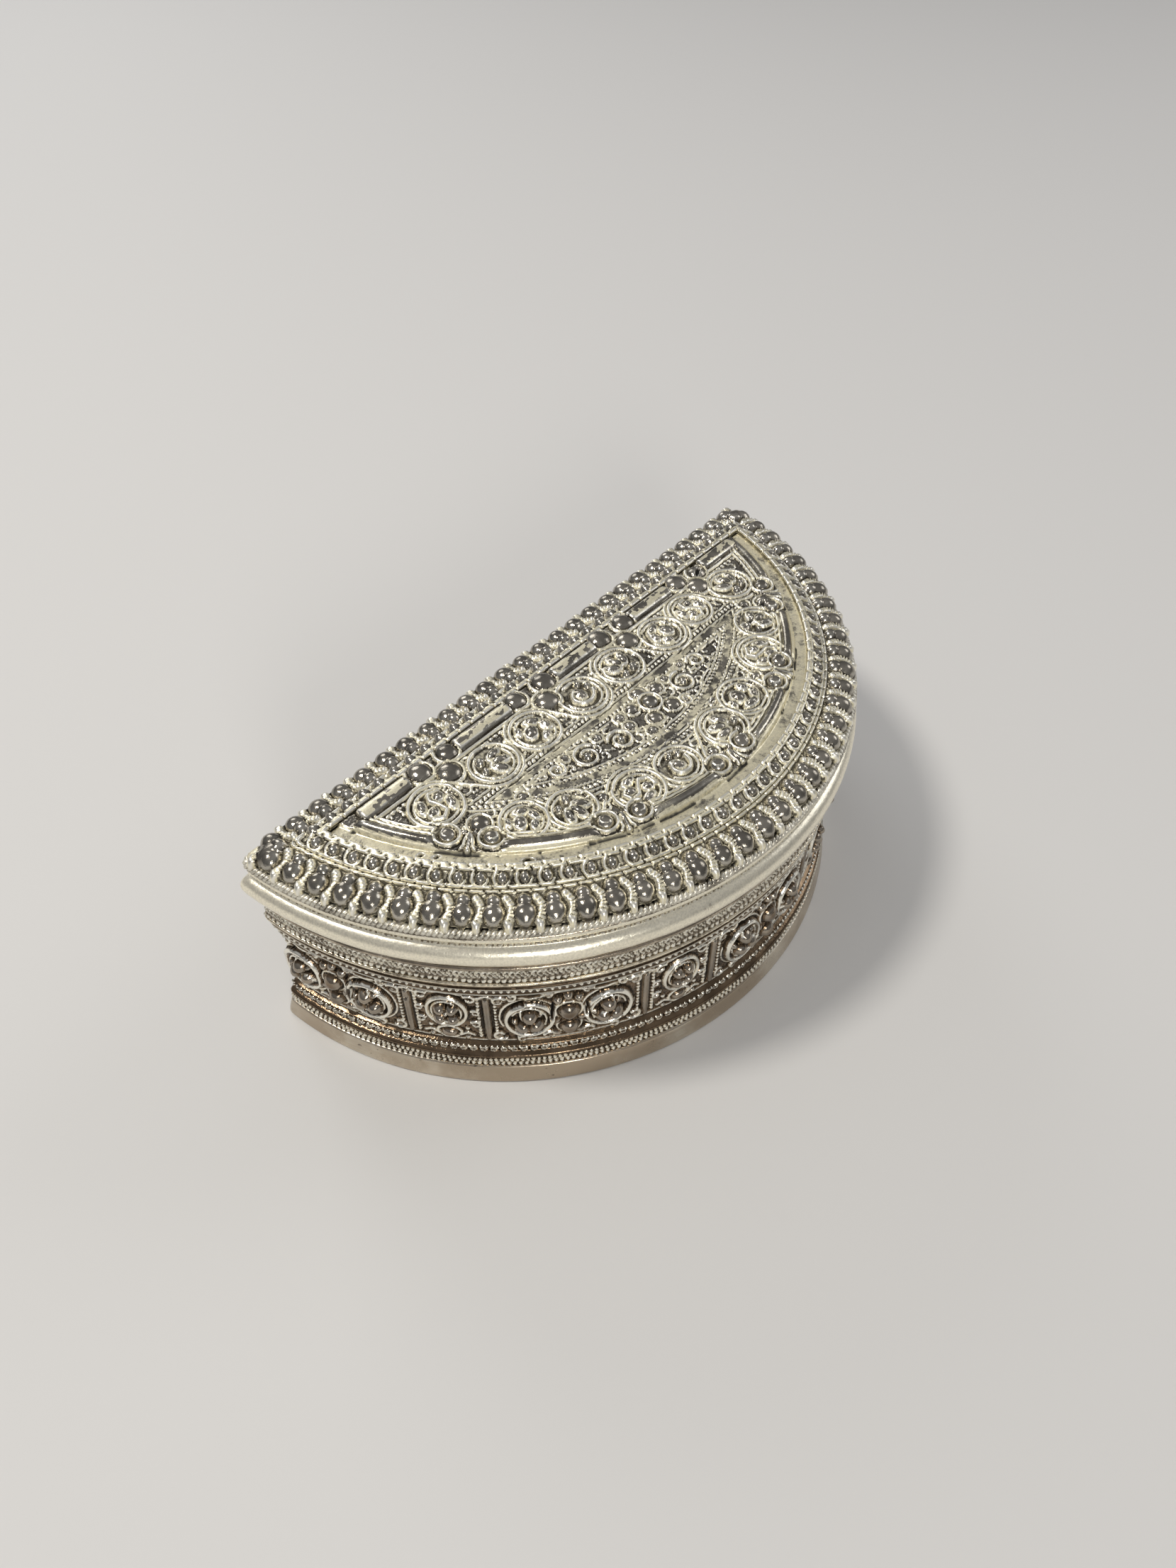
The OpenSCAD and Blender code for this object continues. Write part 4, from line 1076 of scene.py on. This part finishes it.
def rope():
    """Two strands twisted round each other, laid round the lid."""
    cells = 1020, 680
    path = band([(0.3, 42.7), (0.3, 42.75)], *cells, 1.0, 1.0).points[0]
    tangent = unit(np.roll(path, -1, 0) - np.roll(path, 1, 0))
    out = np.stack([tangent[:, 1], -tangent[:, 0], 0 * tangent[:, 0]], 1)
    up = np.array([0.0, 0.0, 1.0])
    n, turns, sides, strand_in, strand_r, length = sum(cells), 186, 7, 0.40, 0.45, 312
    twist = TAU * turns * np.arange(n) / n
    points, quads, layers = [], [], []
    for strand in (0, 1):
        a = (twist + strand * math.pi)[:, None]
        core = path + strand_in * (np.cos(a) * out + np.sin(a) * up)
        lean = unit(tangent + strand_in * TAU * turns / length * (-np.sin(a) * out + np.cos(a) * up))
        side = unit(np.cross(lean, up))
        rise = np.cross(side, lean)
        ring = (TAU * np.arange(sides) / sides)[None, :, None]
        tube = core[:, None] + strand_r * (np.cos(ring) * side[:, None] + np.sin(ring) * rise[:, None])
        away = np.linalg.norm(tube - path[:, None], axis=2)
        ids = len(points) * n * sides + np.arange(n * sides).reshape(n, sides)
        quads.append(grid_quads(np.concatenate([ids, ids[:1]], 0), True, flip=True))
        points.append(tube.reshape(-1, 3))
        layers.append(np.clip((away - 0.35) / 0.55, 0, 1).ravel())
    cavity = np.concatenate(layers)
    # The strands are darkened with painted shade where they meet each other
    return make_mesh("twisted_rope", np.concatenate(points), np.concatenate(quads), [], [rope_silver],
                     {"fine": 0.2 + 0.5 * cavity, "broad": cavity, "tone": 0.25 + 0.45 * cavity,
                      "soot_and_shade": 0.9 * smooth(0.35, 0.05, cavity)})


def foot():
    strip, re = side_relief(
        [(0.85, 0.55), (0.75, 0.1), (-0.3, 0.02), (-0.78, 0.1), (-0.85, 0.45), (-0.68, 1.6), (-0.42, 3.0),
         (-0.25, 3.8), (-0.1, 4.1), (0.3, 4.17), (0.8, 4.17)], 26, 360, 240, 0.6)
    dents = noise(re.x, re.y * 2, 11.0, 81)
    re.h += np.where(between(re.y, 0.4, 3.9), 0.09 * np.minimum(dents, 0.1), 0)
    return shell("foot_band", strip.points, re, foot_silver, 0.45)


def dress(ob, body, slot, *nodes):
    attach(ob, body)
    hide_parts(*nodes)


dress(lid_border(), "lid", "lid_silver", "lid_top")
dress(lid_field(), "lid", "lid_silver", "lid_top")
dress(lid_side(), "lid", "skirt_silver", "lid_skirt")
dress(rope(), "lid", "rope_silver", "rope_wire")
for make in (wall_low, wall_panel, wall_high):
    dress(make(), "box", "wall_silver", "box_wall")
dress(foot(), "box", "foot_silver", "foot_rim")
for node, mat in (("base_plate", base_silver), ("neck_collar", collar_silver)):
    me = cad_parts[node].data
    me.materials.clear()
    me.materials.append(mat)

# The stage

floor_me = bpy.data.meshes.new("floor")
floor_me.from_pydata([(-3, -3, 0), (3, -3, 0), (3, 3, 0), (-3, 3, 0)], [], [(0, 1, 2, 3)])
floor = add_object("floor", floor_me)
mat, bsdf, net = nodes_of("floor_paper")
net.fill(bsdf, {"Base Color": rgb(0.74, 0.73, 0.71), "Roughness": 0.75})
floor_me.materials.append(mat)

# Round soft lamps that point at the box: place, size, watts and colour
LAMPS = {
    "key": ((-0.35, 0.30, 0.85), 0.16, 3.7, (1.0, 0.96, 0.90)),
    "front": ((-0.62, -0.82, 0.50), 0.30, 3.0, (1.0, 0.98, 0.94)),
    "fill": ((0.85, -0.35, 0.60), 0.50, 1.3, (0.98, 0.98, 1.0)),
    "back": ((0.25, 0.85, 0.50), 0.45, 1.4, (1.0, 1.0, 1.0)),
}
for name, (at, size, watts, colour) in LAMPS.items():
    light = bpy.data.lights.new(name, "AREA")
    light.shape, light.size, light.energy, light.color = "DISK", size, watts, colour
    lamp = add_object(name, light)
    lamp.location = at
    lamp.rotation_euler = (Vector((0, 0, 0.03)) - Vector(at)).to_track_quat("-Z", "Y").to_euler()

world = bpy.data.worlds.new("studio")
bpy.context.scene.world = world
world.use_nodes = True
background = world.node_tree.nodes["Background"]
# The sky is brighter overhead, as under a wide soft box
sky = Net(world.node_tree)
upward = sky.node("ShaderNodeSeparateXYZ", {0: sky.node("ShaderNodeTexCoord").outputs["Generated"]})
sky.fill(background, {"Strength": sky.ramp(upward.outputs[2], 0.05, 0.95, 0.2, 0.36),
                      "Color": rgb(0.98, 0.98, 1.0)})

# The camera stands where the photograph was taken from
YAW, PITCH = math.radians(48.26), math.radians(47.72)
cam_data = bpy.data.cameras.new("camera")
cam_data.sensor_width = 36.0
cam_data.lens = 1595.6 / 2212 * 36.0
cam_data.clip_start = 0.01
camera = add_object("camera", cam_data)
camera.location = (-0.10672, -0.08179, 0.17867)
look = Vector((math.sin(YAW) * math.cos(PITCH), math.cos(YAW) * math.cos(PITCH), -math.sin(PITCH)))
camera.rotation_euler = look.to_track_quat("-Z", "Y").to_euler()
bpy.context.scene.camera = camera
bpy.context.scene.view_settings.view_transform = "Standard"
